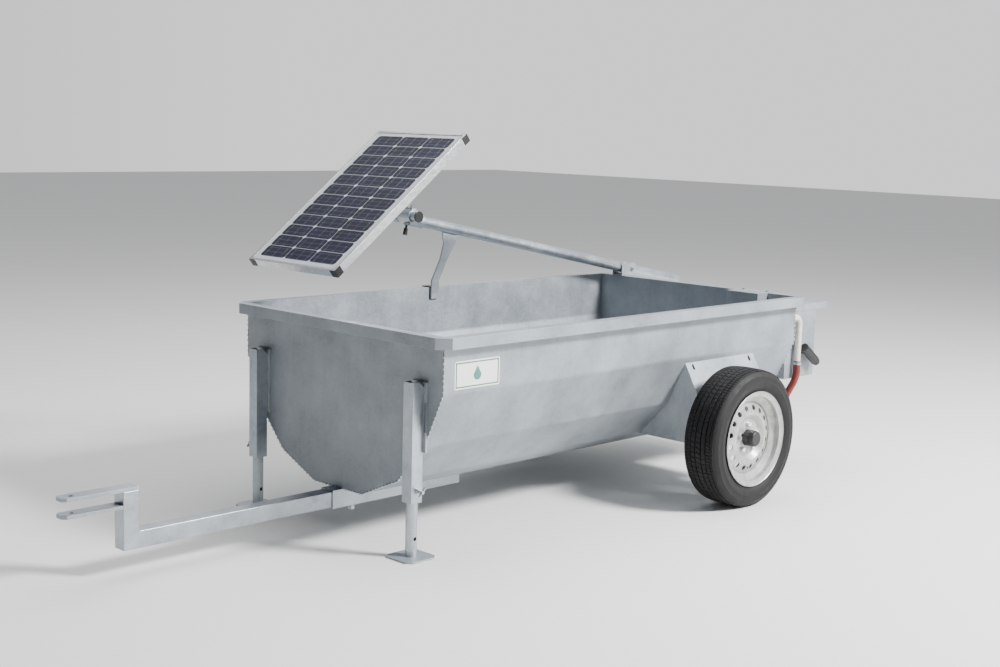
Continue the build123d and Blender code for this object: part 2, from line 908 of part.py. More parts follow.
with BuildPart() as mast_pivot_bolt:
    with BuildSketch(alongside(mast_y)):
        with Locations((pivot_x, mast_pivot_z)):
            Circle(pivot_bolt_radius)
    extrude(amount=bolt_half + pivot_bolt_end, both=True)
    for side in (-1, 1):
        with BuildSketch(alongside(mast_y + side * bolt_half)):
            with Locations((pivot_x, mast_pivot_z)):
                RegularPolygon(pivot_bolt_radius * nut_factor, 6)
        extrude(amount=-side * pivot_bolt_radius * 2 * head_factor)
save(mast_pivot_bolt, "mast_pivot_bolt")

# unit vectors of the leaning mast: forward along it, and square above it
along = Vector(-math.cos(lean), 0, math.sin(lean))
above = Vector(math.sin(lean), 0, math.cos(lean))
pivot = Vector(pivot_x, mast_y, mast_pivot_z)


def mast_point(forward, up=0.0):
    return pivot + along * forward + above * up


def mast_section(forward):
    """Plane square to the mast at a distance from its pivot; its own Y axis points above the mast."""
    return Plane(mast_point(forward), x_dir=(0, 1, 0), z_dir=along)


tee_centre = mast_point(mast_reach, tee_offset)
spindle_radius = mast_radius
tee_bore = spindle_radius + turning_clearance
tee_radius = tee_bore + tee_wall
mast_front = mast_reach - tee_radius

with BuildPart() as mast_tube:
    with BuildSketch(mast_section(-mast_tail)):
        Circle(mast_radius)
    extrude(amount=mast_tail + mast_front)
    with BuildSketch(mast_section(-mast_tail + mast_tail_plate)):
        Circle(mast_radius - mast_wall)
    extrude(amount=mast_tail + mast_front, mode=Mode.SUBTRACT)
    with BuildSketch(alongside(mast_y)):
        with Locations((pivot_x, mast_pivot_z)):
            Circle(pivot_bolt_radius + seat_gap)
    extrude(amount=2 * mast_radius, both=True, mode=Mode.SUBTRACT)
save(mast_tube, "mast_tube")

tee_pad_width = 2 * tee_bolt_radius + 12
bolt_seat = tee_centre + above * (tee_radius + tee_pad + seat_gap)
bolt_plane = Plane(bolt_seat, x_dir=(0, 1, 0), z_dir=above)
bolt_head = tee_bolt_radius * 2 * head_factor

with BuildPart() as tee_head:
    with BuildSketch(alongside(mast_y)):
        with Locations((tee_centre.X, tee_centre.Z)):
            Circle(tee_radius)
    extrude(amount=tee_length / 2, both=True)
    with BuildSketch(mast_section(mast_front - tee_socket)):
        Circle(mast_radius + seat_gap + tee_wall)
    extrude(amount=tee_socket + tee_radius)
    with BuildSketch(Plane(tee_centre, x_dir=(0, 1, 0), z_dir=above)):
        Rectangle(tee_length - 12, tee_pad_width)
    extrude(amount=tee_radius + tee_pad)
    knob_boss = Plane(tee_centre, x_dir=(0, 1, 0), z_dir=-above)
    with BuildSketch(knob_boss):
        Circle(knob_screw_radius * knob_boss_factor)
    extrude(amount=tee_radius + knob_seat)
    with BuildSketch(alongside(mast_y)):
        with Locations((tee_centre.X, tee_centre.Z)):
            Circle(tee_bore)
    extrude(amount=tee_length, both=True, mode=Mode.SUBTRACT)
    with BuildSketch(mast_section(mast_front - tee_socket)):
        Circle(mast_radius + seat_gap)
    extrude(amount=tee_socket + seat_gap, mode=Mode.SUBTRACT)
    with BuildSketch(knob_boss):
        Circle(knob_screw_radius + seat_gap)
    extrude(amount=tee_radius + 2 * knob_seat, mode=Mode.SUBTRACT)
save(tee_head, "tee_head")

with BuildPart() as tee_bolts:
    with BuildSketch(bolt_plane):
        with GridLocations(tee_bolt_pitch, 0, 2, 1):
            RegularPolygon(tee_bolt_radius * nut_factor, 6)
    extrude(amount=bolt_head)
    with BuildSketch(bolt_plane):
        with GridLocations(tee_bolt_pitch, 0, 2, 1):
            Circle(tee_bolt_radius)
    extrude(amount=bolt_head + tee_bolt_end)
save(tee_bolts, "tee_bolts")

knob_start = spindle_radius + seat_gap
grip_top = tee_radius + knob_seat + knob_reach - knob_height


def below_tee(distance):
    """Plane square to the knob's screw at a distance below the tee's middle; it faces down."""
    return Plane(tee_centre - above * distance, x_dir=(0, 1, 0), z_dir=-above)


with BuildPart() as head_knob:
    with BuildSketch(below_tee(knob_start)):
        Circle(knob_screw_radius)
    extrude(amount=grip_top + knob_height - knob_start)
    with BuildSketch(below_tee(grip_top - knob_neck)):
        Circle(knob_neck_radius)
    extrude(amount=knob_neck)
    with BuildSketch(below_tee(grip_top)):
        SlotOverall(knob_width, knob_depth, rotation=knob_turn)
    extrude(amount=knob_height)
save(head_knob, "head_knob")

# ---- prop between the mast and the right-hand rim ------------------------------------------------------

wall_inside = wall_y - sheet
hook_far_y = wall_inside - seat_gap
hook_near_y = hook_far_y - hook_thickness
prop_low_y = hook_near_y - prop_thickness
prop_near_y = mast_y - prop_thickness / 2
prop_far_y = mast_y + prop_thickness / 2
prop_upper_knee_z = rim_height + prop_upper_knee_rise
prop_taper_z = rim_height + prop_taper_rise
prop_lower_knee_z = rim_height + prop_lower_knee_rise
prop_foot_z = rim_height - prop_foot_drop
prop_x = mast_point(prop_reach).X
prop_front = mast_point(prop_reach + prop_top_width / 2, -mast_radius)
prop_rear = mast_point(prop_reach - prop_top_width / 2, -mast_radius)

with BuildPart() as prop_bar:
    with BuildSketch(across(prop_x)):
        with BuildLine():
            Polyline(
                (prop_near_y, prop_front.Z),
                (prop_far_y, prop_front.Z),
                (prop_far_y, prop_upper_knee_z),
                (hook_near_y, prop_lower_knee_z),
                (hook_near_y, prop_foot_z),
                (prop_low_y, prop_foot_z),
                (prop_low_y, prop_lower_knee_z - prop_thickness / 4),
                (prop_near_y, prop_upper_knee_z - prop_thickness / 4),
                close=True,
            )
        make_face()
    extrude(amount=prop_top_width / 2, both=True)
    with BuildSketch(alongside(prop_near_y - 1)):
        with BuildLine():
            Polyline(
                (prop_front.X, prop_front.Z),
                (prop_rear.X, prop_rear.Z),
                (prop_x + prop_width / 2, prop_taper_z),
                (prop_x + prop_width / 2, prop_foot_z),
                (prop_x - prop_width / 2, prop_foot_z),
                (prop_x - prop_width / 2, prop_taper_z),
                close=True,
            )
        make_face()
    extrude(amount=-rim_width / 4, mode=Mode.INTERSECT)
save(prop_bar, "prop_bar")

hook_top = rim_height + seat_gap + hook_thickness

with BuildPart() as rim_hook:
    with BuildSketch(across(prop_x)):
        with BuildLine():
            Polyline(
                (hook_near_y, prop_foot_z),
                (hook_far_y, prop_foot_z),
                (hook_far_y, rim_height + seat_gap),
                (rim_width / 2 + hook_overhang, rim_height + seat_gap),
                (rim_width / 2 + hook_overhang, hook_top),
                (hook_near_y, hook_top),
                close=True,
            )
        make_face()
    extrude(amount=prop_width / 2, both=True)
save(rim_hook, "rim_hook")

# ---- panel head ----------------------------------------------------------------------------------------

tilt = math.radians(panel_angle)
panel_centre = Vector(at(panel_centre_station), mast_y, panel_centre_z)
panel_normal = Vector(-math.sin(tilt), 0, math.cos(tilt))
panel_slope = Vector(math.cos(tilt), 0, math.sin(tilt))


def panel_plane(depth):
    """Plane under the panel's face: its own X runs up the slope, and it faces the sun."""
    return Plane(panel_centre - panel_normal * depth, x_dir=panel_slope, z_dir=panel_normal)


spindle_near_y = mast_y - spindle_near_reach
collar_near_y = mast_y + tee_length / 2 + collar_gap
spindle_far_y = collar_near_y + arm_collar_width + spindle_far_end

with BuildPart() as spindle:
    with BuildSketch(alongside(spindle_near_y)):
        with Locations((tee_centre.X, tee_centre.Z)):
            Circle(spindle_radius)
            Circle(spindle_radius - mast_wall, mode=Mode.SUBTRACT)
    extrude(amount=-(spindle_far_y - spindle_near_y))
save(spindle, "spindle")

with BuildPart() as spindle_caps:
    for end_y, side in ((spindle_near_y, -1), (spindle_far_y, 1)):
        with BuildSketch(alongside(end_y)):
            with Locations((tee_centre.X, tee_centre.Z)):
                Circle(spindle_radius)
        extrude(amount=-side * spindle_end_cap)
        with BuildSketch(alongside(end_y)):
            with Locations((tee_centre.X, tee_centre.Z)):
                Circle(spindle_radius - mast_wall - seat_gap)
        extrude(amount=side * spindle_plug)
save(spindle_caps, "spindle_caps")

plate_depth = panel_depth + rail_height
arm_target = panel_centre - panel_normal * (plate_depth + plate_thickness)
arm_y = collar_near_y + arm_collar_width / 2
arm_run = Vector(arm_target.X - tee_centre.X, 0, arm_target.Z - tee_centre.Z)
arm_start = Vector(tee_centre.X, arm_y, tee_centre.Z)
collar_radius = spindle_radius + seat_gap + arm_collar_wall
plate_back = panel_plane(plate_depth + plate_thickness)

with BuildPart() as panel_arm:
    with BuildSketch(Plane(arm_start, x_dir=(0, 1, 0), z_dir=arm_run)):
        Rectangle(arm_width, arm_depth)
    extrude(amount=arm_run.length + arm_depth)
    split(bisect_by=plate_back, keep=Keep.BOTTOM)
    with BuildSketch(alongside(collar_near_y)):
        with Locations((tee_centre.X, tee_centre.Z)):
            Circle(collar_radius)
    extrude(amount=-arm_collar_width)
    with BuildSketch(plate_back):
        Rectangle(rail_spread + rail_width, plate_width)
    extrude(amount=plate_thickness)
    with BuildSketch(alongside(collar_near_y)):
        with Locations((tee_centre.X, tee_centre.Z)):
            Circle(spindle_radius + seat_gap)
    extrude(amount=-arm_collar_width, mode=Mode.SUBTRACT)
save(panel_arm, "panel_arm")

rail_length = panel_width - 2 * rail_inset

with BuildPart() as panel_rails:
    with BuildSketch(panel_plane(plate_depth)):
        with Locations((-rail_spread / 2, 0), (rail_spread / 2, 0)):
            Rectangle(rail_width, rail_length)
    extrude(amount=rail_height)
    with BuildSketch(panel_plane(panel_depth)):
        with Locations((-rail_spread / 2, 0), (rail_spread / 2, 0)):
            Rectangle(rail_width - 2 * rail_wall, rail_length)
    extrude(amount=-(rail_height - rail_wall), mode=Mode.SUBTRACT)
save(panel_rails, "panel_rails")

frame_outer = panel_length - 2 * cap_wall
frame_across = panel_width - 2 * cap_wall

with BuildPart() as panel_frame:
    with BuildSketch(panel_plane(panel_depth)):
        Rectangle(frame_outer, frame_across)
        Rectangle(frame_outer - 2 * frame_wall, frame_across - 2 * frame_wall, mode=Mode.SUBTRACT)
    extrude(amount=panel_depth)
    with BuildSketch(panel_plane(glass_recess)):
        Rectangle(frame_outer, frame_across)
        Rectangle(frame_outer - 2 * frame_face, frame_across - 2 * frame_face, mode=Mode.SUBTRACT)
    extrude(amount=glass_recess)
    with BuildSketch(panel_plane(panel_depth)):
        Rectangle(frame_outer, frame_across)
        Rectangle(frame_outer - 2 * frame_foot, frame_across - 2 * frame_foot, mode=Mode.SUBTRACT)
    extrude(amount=frame_wall)
    with BuildSketch(panel_plane(glass_recess + glass + seat_gap)):
        Rectangle(frame_outer, frame_across)
        Rectangle(frame_outer - 2 * frame_face, frame_across - 2 * frame_face, mode=Mode.SUBTRACT)
    extrude(amount=-frame_wall)
save(panel_frame, "panel_frame")

with BuildPart() as panel_laminate:
    with BuildSketch(panel_plane(glass_recess + glass)):
        Rectangle(frame_outer - 2 * frame_wall - 2 * seat_gap, frame_across - 2 * frame_wall - 2 * seat_gap)
    extrude(amount=glass)
save(panel_laminate, "panel_laminate")

with BuildPart() as corner_caps:
    with BuildSketch(panel_plane(panel_depth)):
        Rectangle(panel_length, panel_width)
        Rectangle(frame_outer, frame_across, mode=Mode.SUBTRACT)
        Rectangle(panel_length - 2 * cap_leg, panel_width, mode=Mode.SUBTRACT)
        Rectangle(panel_length, panel_width - 2 * cap_leg, mode=Mode.SUBTRACT)
    extrude(amount=panel_depth)
save(corner_caps, "corner_caps")

with BuildPart() as junction_box:
    with BuildSketch(panel_plane(glass_recess + glass)):
        with Locations((panel_length / 2 - junction_length, 0)):
            RectangleRounded(junction_length, junction_width, junction_corner)
    extrude(amount=-junction_height)
save(junction_box, "junction_box")

# ---- pump box with its lid -----------------------------------------------------------------------------

box_near_y = box_side_inset - wall_y
box_far_y = box_near_y + box_width
box_middle_y = box_near_y + box_width / 2
box_rear = wall_rear + box_depth
lid_top_z = rim_height - lid_drop
hinge_x = wall_rear + lid_hinge_setback
box_top_z = lid_top_z - box_sheet - seat_gap
hinge_z = lid_top_z + hinge_barrel_radius + seat_gap

with BuildPart() as pump_box:
    with BuildSketch(Plane.XY.offset(box_bottom_z)):
        with Locations(((wall_rear + box_rear) / 2, box_middle_y)):
            Rectangle(box_rear - wall_rear, box_width)
    extrude(amount=box_top_z - box_bottom_z)
    with BuildSketch(Plane.XY.offset(box_bottom_z + box_sheet)):
        with Locations(((wall_rear + box_rear) / 2, box_middle_y)):
            Rectangle(box_rear - wall_rear - 2 * box_sheet, box_width - 2 * box_sheet)
    extrude(amount=box_top_z, mode=Mode.SUBTRACT)
    strip_rear = hinge_x - lid_gap
    with BuildSketch(Plane.XY.offset(box_top_z)):
        with Locations(((wall_rear + strip_rear) / 2, box_middle_y)):
            Rectangle(strip_rear - wall_rear, box_width)
    extrude(amount=box_sheet)
    with BuildSketch(alongside(box_near_y)):
        with Locations((wall_rear + suction_setback, suction_z)):
            Circle(suction_radius)
    extrude(amount=-box_sheet, mode=Mode.SUBTRACT)
save(pump_box, "pump_box")

lid_rear = box_rear + lid_overhang
lid_width = box_width + 2 * (lid_side_gap + box_sheet)
lid_middle_x = (hinge_x + lid_rear) / 2
lid_length = lid_rear - hinge_x

with BuildPart() as pump_box_lid:
    with BuildSketch(Plane.XY.offset(lid_top_z)):
        with Locations((lid_middle_x, box_middle_y)):
            Rectangle(lid_length, lid_width)
    extrude(amount=-lid_skirt)
    with BuildSketch(Plane.XY.offset(lid_top_z - box_sheet)):
        with Locations((lid_middle_x - box_sheet, box_middle_y)):
            Rectangle(lid_length, lid_width - 2 * box_sheet)
    extrude(amount=-lid_skirt, mode=Mode.SUBTRACT)
save(pump_box_lid, "pump_box_lid")

hinge_ys = [box_middle_y - box_width / 3, box_middle_y + box_width / 3]

with BuildPart() as lid_hinges:
    for hinge_y in hinge_ys:
        with BuildSketch(alongside(hinge_y)):
            with Locations((hinge_x, hinge_z)):
                Circle(hinge_barrel_radius)
        extrude(amount=hinge_length / 2, both=True)
        with BuildSketch(Plane.XY.offset(lid_top_z - seat_gap)):
            with Locations((hinge_x - hinge_leaf_width / 2, hinge_y)):
                Rectangle(hinge_leaf_width, hinge_length)
        extrude(amount=hinge_leaf)
save(lid_hinges, "lid_hinges")

inside_floor = box_bottom_z + box_sheet
battery_x = wall_rear + battery_gap + battery_length / 2
battery_y = box_far_y - battery_side_gap - battery_width / 2

with BuildPart() as battery:
    with BuildSketch(Plane.XY.offset(inside_floor)):
        with Locations((battery_x, battery_y)):
            Rectangle(battery_length, battery_width)
    extrude(amount=battery_height)
    fillet(battery.edges().filter_by(Axis.Z), battery_corner)
    with BuildSketch(Plane.XY.offset(inside_floor + battery_height)):
        with Locations((battery_x, battery_y)):
            with GridLocations(battery_length - 2 * terminal_inset, 0, 2, 1):
                Circle(terminal_radius)
    extrude(amount=terminal_height)
save(battery, "battery")

pump_x = wall_rear + pump_gap + pump_radius
pump_y = box_near_y + pump_side_gap + pump_length / 2
pump_z = inside_floor + pump_lift + pump_radius

with BuildPart() as pump:
    with BuildSketch(alongside(pump_y)):
        with Locations((pump_x, pump_z)):
            Circle(pump_radius)
    extrude(amount=pump_length / 2, both=True)
    with BuildSketch(alongside(pump_y - pump_length / 2)):
        with Locations((pump_x, pump_z)):
            Circle(pump_radius * pump_nose_factor)
    extrude(amount=pump_nose)
    with BuildSketch(Plane.XY.offset(inside_floor)):
        with Locations((pump_x, pump_y)):
            with GridLocations(0, pump_length * pump_foot_share, 1, 2):
                Rectangle(2 * pump_radius, pump_foot)
    extrude(amount=pump_z - inside_floor)
save(pump, "pump")

with BuildPart() as charge_controller:
    with BuildSketch(across(wall_rear + box_sheet)):
        with Locations((box_near_y + controller_side, box_top_z - controller_drop)):
            Rectangle(controller_width, controller_height)
    extrude(amount=controller_depth)
    fillet(charge_controller.edges().filter_by(Axis.X), controller_corner)
save(charge_controller, "charge_controller")

droop = math.radians(suction_angle)
suction_x = wall_rear + suction_setback
suction_elbow = Vector(suction_x, box_near_y - suction_stub - suction_radius, suction_z)
suction_line = Vector(math.cos(droop), 0, -math.sin(droop))


def suction_plane(distance):
    """Plane square to the drooping part of the coupling, at a distance from its elbow."""
    return Plane(suction_elbow + suction_line * distance, x_dir=(0, 1, 0), z_dir=suction_line)


with BuildPart() as suction_coupling:
    with BuildSketch(alongside(box_near_y + suction_inside)):
        with Locations((suction_x, suction_z)):
            Circle(suction_radius - seat_gap)
    extrude(amount=suction_inside + suction_stub + suction_radius)
    with BuildSketch(suction_plane(-suction_radius)):
        Circle(suction_radius)
    extrude(amount=suction_length)
    with BuildSketch(suction_plane(suction_length - suction_radius)):
        Circle(suction_radius * suction_nozzle_factor)
    extrude(amount=suction_nozzle)
save(suction_coupling, "suction_coupling")

# ---- water line: pump outlet, hose, riser pipe and float valve ----------------------------------------

riser_x = wall_rear + riser_setback
riser_in_x = wall_rear - riser_inside_reach
valve_y = valve_side_inset - wall_y
riser_route = [
    (riser_x, riser_y, riser_bottom_z),
    (riser_x, riser_y, riser_wall_z),
    (riser_in_x, riser_y, riser_wall_z),
    (riser_in_x, valve_y, riser_wall_z),
]

with BuildPart() as riser_pipe:
    with BuildLine() as riser_line:
        FilletPolyline(*riser_route, radius=riser_bend)
    with BuildSketch(Plane.XY.offset(riser_bottom_z)):
        with Locations((riser_x, riser_y)):
            Circle(riser_radius)
    sweep()
save(riser_pipe, "riser_pipe")

hose_end_x = wall_rear + hose_end_setback
hose_end_y = box_near_y + hose_end_side
hose_top_z = box_bottom_z - hose_tail
hose_route = [
    (riser_x, riser_y, riser_bottom_z),
    (riser_x, riser_y, riser_bottom_z - 75),
    (riser_x - 60, riser_y + 38, riser_bottom_z - 205),
    (riser_x - 48, riser_y + 124, riser_bottom_z - 278),
    (riser_x + 14, riser_y + 210, riser_bottom_z - 272),
    (hose_end_x, hose_end_y, hose_top_z - 100),
    (hose_end_x, hose_end_y, hose_top_z),
]
route = [Vector(*point) for point in hose_route]
runs = [after - before for before, after in zip(route, route[1:])]
hose_bends = []
for run, following in zip(runs, runs[1:]):
    half_turn = math.radians(run.get_angle(following)) / 2
    hose_bends.append(hose_run_share * min(run.length, following.length) / math.tan(half_turn))

with BuildPart() as feed_hose:
    with BuildLine() as hose_line:
        FilletPolyline(*hose_route, radius=hose_bends)
    with BuildSketch(Plane.XY.offset(riser_bottom_z)):
        with Locations((riser_x, riser_y)):
            Circle(hose_radius)
    sweep()
save(feed_hose, "feed_hose")
hose_length = hose_line.wires()[0].length
print("hose length", round(hose_length), "bends", [round(bend) for bend in hose_bends])
print("hose volume", feed_hose.part.volume, "section x length", math.pi * hose_radius ** 2 * hose_length)

hose_ends = [(riser_x, riser_y, riser_bottom_z), (hose_end_x, hose_end_y, hose_top_z)]

with BuildPart() as hose_clips:
    for x, y, z in hose_ends:
        with BuildSketch(Plane.XY.offset(z - clip_drop)):
            with Locations((x, y)):
                Circle(hose_radius + seat_gap + clip_wall)
                Circle(hose_radius + seat_gap, mode=Mode.SUBTRACT)
        extrude(amount=clip_width)
save(hose_clips, "hose_clips")

with BuildPart() as pump_outlet:
    with BuildSketch(Plane.XY.offset(hose_top_z)):
        with Locations((hose_end_x, hose_end_y)):
            Circle(hose_tail_radius)
    extrude(amount=hose_tail)
    with BuildSketch(Plane.XY.offset(box_bottom_z)):
        with Locations((hose_end_x, hose_end_y)):
            RegularPolygon(hose_tail_radius * hose_tail_factor, 6)
    extrude(amount=-hose_tail_nut)
save(pump_outlet, "pump_outlet")

guard_rear = wall_rear - sheet - seat_gap
guard_front = guard_rear - guard_depth
guard_near_y = guard_side_inset - wall_y
guard_middle_y = guard_near_y + guard_width / 2
guard_bottom = rim_height - guard_drop
rim_top_gap = rim_height + seat_gap

with BuildPart() as valve_guard:
    with BuildSketch(Plane.XY.offset(guard_bottom)):
        with Locations(((guard_front + guard_rear) / 2, guard_middle_y)):
            Rectangle(guard_depth, guard_width)
            Rectangle(guard_depth - 2 * guard_sheet, guard_width - 2 * guard_sheet, mode=Mode.SUBTRACT)
    extrude(amount=rim_top_gap - guard_bottom)
    with BuildSketch(Plane.XY.offset(rim_top_gap)):
        with Locations(((guard_front + rim_rear) / 2, guard_middle_y)):
            Rectangle(rim_rear - guard_front, guard_width)
    extrude(amount=guard_sheet)
    with BuildSketch(alongside(guard_near_y - 1)):
        with Locations((riser_in_x, riser_wall_z)):
            Circle(riser_radius + guard_clearance)
    extrude(amount=-(guard_sheet + 2), mode=Mode.SUBTRACT)
save(valve_guard, "valve_guard")

rim_bolt_x = rim_rear - rim_flange / 2

with BuildPart() as rim_bolts:
    with BuildSketch(Plane.XY.offset(rim_top_gap + guard_sheet)):
        with Locations((rim_bolt_x, guard_middle_y)):
            with GridLocations(0, guard_width - 2 * rim_bolt_inset, 1, 2):
                RegularPolygon(rim_bolt_radius * nut_factor, 6)
    extrude(amount=rim_bolt_radius * 2 * head_factor)
save(rim_bolts, "rim_bolts")

float_pivot_y = valve_y + valve_length
float_pivot_z = riser_wall_z - float_pivot_drop
float_middle_y = float_pivot_y + float_arm_length + float_radius

with BuildPart() as float_valve:
    with BuildSketch(alongside(valve_y)):
        with Locations((riser_in_x, riser_wall_z)):
            Rectangle(valve_size, valve_size)
    extrude(amount=-valve_length)
    with BuildSketch(across(riser_in_x)):
        with Locations((float_pivot_y, float_pivot_z)):
            Circle(float_lug_radius)
        with Locations((float_pivot_y - float_lug_radius, float_pivot_z + float_lug_radius)):
            Rectangle(2 * float_lug_radius, 2 * float_lug_radius + 2)
    extrude(amount=valve_size / 2, both=True)
    with BuildSketch(across(riser_in_x)):
        with Locations((float_pivot_y, float_pivot_z)):
            Rectangle(float_slot, float_slot)
    extrude(amount=float_arm_radius + 1, both=True, mode=Mode.SUBTRACT)
save(float_valve, "float_valve")

with BuildPart() as float_arm:
    with BuildSketch(across(riser_in_x)):
        with Locations((float_pivot_y, float_pivot_z)):
            Circle(float_eye_radius)
    extrude(amount=float_arm_radius + 1 - seat_gap, both=True)
    with BuildSketch(alongside(float_pivot_y)):
        with Locations((riser_in_x, float_pivot_z)):
            Circle(float_arm_radius)
    extrude(amount=-(float_arm_length + float_corner))
    with BuildSketch(across(riser_in_x)):
        with Locations((float_middle_y, float_pivot_z)):
            Circle(float_radius)
    extrude(amount=float_length / 2, both=True)
    fillet(float_arm.edges().filter_by(GeomType.CIRCLE).group_by(SortBy.RADIUS)[-1], float_corner)
save(float_arm, "float_arm")
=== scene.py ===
import json
import math
import random
import bmesh
import bpy
from mathutils import Matrix, Vector


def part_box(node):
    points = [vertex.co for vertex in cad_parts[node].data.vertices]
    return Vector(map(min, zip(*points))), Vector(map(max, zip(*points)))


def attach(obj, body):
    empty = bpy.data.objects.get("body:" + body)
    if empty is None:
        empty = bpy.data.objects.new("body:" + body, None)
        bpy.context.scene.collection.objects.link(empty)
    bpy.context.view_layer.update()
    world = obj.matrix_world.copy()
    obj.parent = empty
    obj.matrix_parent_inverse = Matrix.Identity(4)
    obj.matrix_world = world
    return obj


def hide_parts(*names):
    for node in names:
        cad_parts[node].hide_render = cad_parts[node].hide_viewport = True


# A galvanised drinking trough on two wheels, with a solar pump. Places come from the frame's nodes; sizes
# that the frame doesn't give are named below, in millimetres, and MM turns them to metres.

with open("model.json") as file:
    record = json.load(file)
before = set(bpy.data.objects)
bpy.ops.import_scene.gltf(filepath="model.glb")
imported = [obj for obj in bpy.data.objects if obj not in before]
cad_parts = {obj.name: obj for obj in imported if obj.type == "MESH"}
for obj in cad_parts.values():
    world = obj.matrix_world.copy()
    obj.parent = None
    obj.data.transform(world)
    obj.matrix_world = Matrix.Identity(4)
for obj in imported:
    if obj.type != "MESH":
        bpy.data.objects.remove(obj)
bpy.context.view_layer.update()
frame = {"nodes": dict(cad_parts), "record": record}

MM = 0.001
RECORD = frame["record"]
BODY_OF = {node: body for body, nodes in RECORD["behaviour"]["bodies"].items() for node in nodes}
SLOT_OF = {row["node"]: row["material_slot"] for row in RECORD["subparts"]}
rng = random.Random(11)

# folds of the trough's sheet, as half-widths and heights
WALL_HALF = 572
UPPER_FOLD = 595
MIDDLE_FOLD = 393
MIDDLE_HALF = 478
LOWER_FOLD = 247
LOWER_HALF = 339
FLOOR = 160
FLOOR_HALF = 141
FOLD_RADIUS = 8
FOLD_SHARP = math.radians(3)
WELD_STEP = 20
WELD_RADIUS = 4
WELD_PLACE_SPREAD = (0.4, 0.6)
WELD_SIZE_SPREAD = (1.0, 1.4)
SHEET = 3

# tyre and wheel
TYRE_RADIUS = 285
TREAD_HALF = 68
GROOVE_DEPTH = 6.5
MIDDLE_PITCHES = 84
SHOULDER_PITCHES = 132
SIPE_WIDTH = 2.4
BEAD_RADIUS = 180
VALVE_DROP = 126
VALVE_RADIUS = 3.5
VALVE_LENGTH = 26

# solar panel
PANEL_ANGLE = math.radians(37.7)
FILM_DROP = 0.6
CELL_THICK = 0.3
BUS_THICK = 0.15
BUS_COUNT = 3
CELL_ROWS = 12
CELL_COLUMNS = 3
CELL_LONG = 159
CELL_SHORT = 64.5
CELL_GAP = 2.6
CELL_CORNER = 9
BUS_WIDTH = 1.4

# sticker on the near wall
STICKER_SETBACK = 50
STICKER_LONG = 220
STICKER_TALL = 100
STICKER_FOOT = 608
STICKER_THICK = 0.4
PRINT_BORDER = 5
STICKER_CORNER = 4
DROP_RADIUS = 19
DROP_TAPER = 0.7
DROP_SINK = 4


# ---- materials ------------------------------------------------------------------------------------------

def linear(code):
    """Linear colour of an sRGB hex value."""
    channels = [int(code[i:i + 2], 16) / 255 for i in (0, 2, 4)]
    return [c / 12.92 if c <= 0.04045 else ((c + 0.055) / 1.055) ** 2.4 for c in channels] + [1.0]


def per_mm(size):
    """Pattern scale that gives one repeat for each so many millimetres."""
    return 1000 / size


def add(tree, kind, sockets=None, **settings):
    """Adds a shader node; sockets maps each input to a value or to the output that feeds it."""
    made = tree.nodes.new("ShaderNode" + kind)
    for name, value in settings.items():
        setattr(made, name, value)
    for name, value in (sockets or {}).items():
        if isinstance(value, bpy.types.NodeSocket):
            tree.links.new(value, made.inputs[name])
        else:
            made.inputs[name].default_value = value
    return made


def begin(name, **numbers):
    """A new material with its shader's plain numbers set; gives its tree, shader and object coordinates."""
    made = bpy.data.materials.new(name)
    made.use_nodes = True
    tree = made.node_tree
    shader = tree.nodes["Principled BSDF"]
    for socket, value in numbers.items():
        shader.inputs[socket.replace("_", " ")].default_value = value
    return made, tree, shader, add(tree, "TexCoord").outputs["Object"]


def blend_colours(tree, factor, first, second):
    """Output that goes from the first colour to the second with the factor."""
    mixed = add(tree, "Mix", {0: factor, 6: first, 7: second}, data_type="RGBA")
    return mixed.outputs[2]


def finish_material(tree, shader, colour, roughness, height, depth):
    """Links colour, roughness and a bump of so many metres to the shader."""
    tree.links.new(colour, shader.inputs["Base Color"])
    tree.links.new(roughness, shader.inputs["Roughness"])
    bump = add(tree, "Bump", {"Height": height, "Distance": depth, "Strength": 1.0})
    tree.links.new(bump.outputs["Normal"], shader.inputs["Normal"])


def span(tree, value, low, high, to_low, to_high):
    """Output of a value between low and high, stretched to a new range."""
    numbers = {"Value": value, "From Min": low, "From Max": high, "To Min": to_low, "To Max": to_high}
    return add(tree, "MapRange", numbers).outputs["Result"]


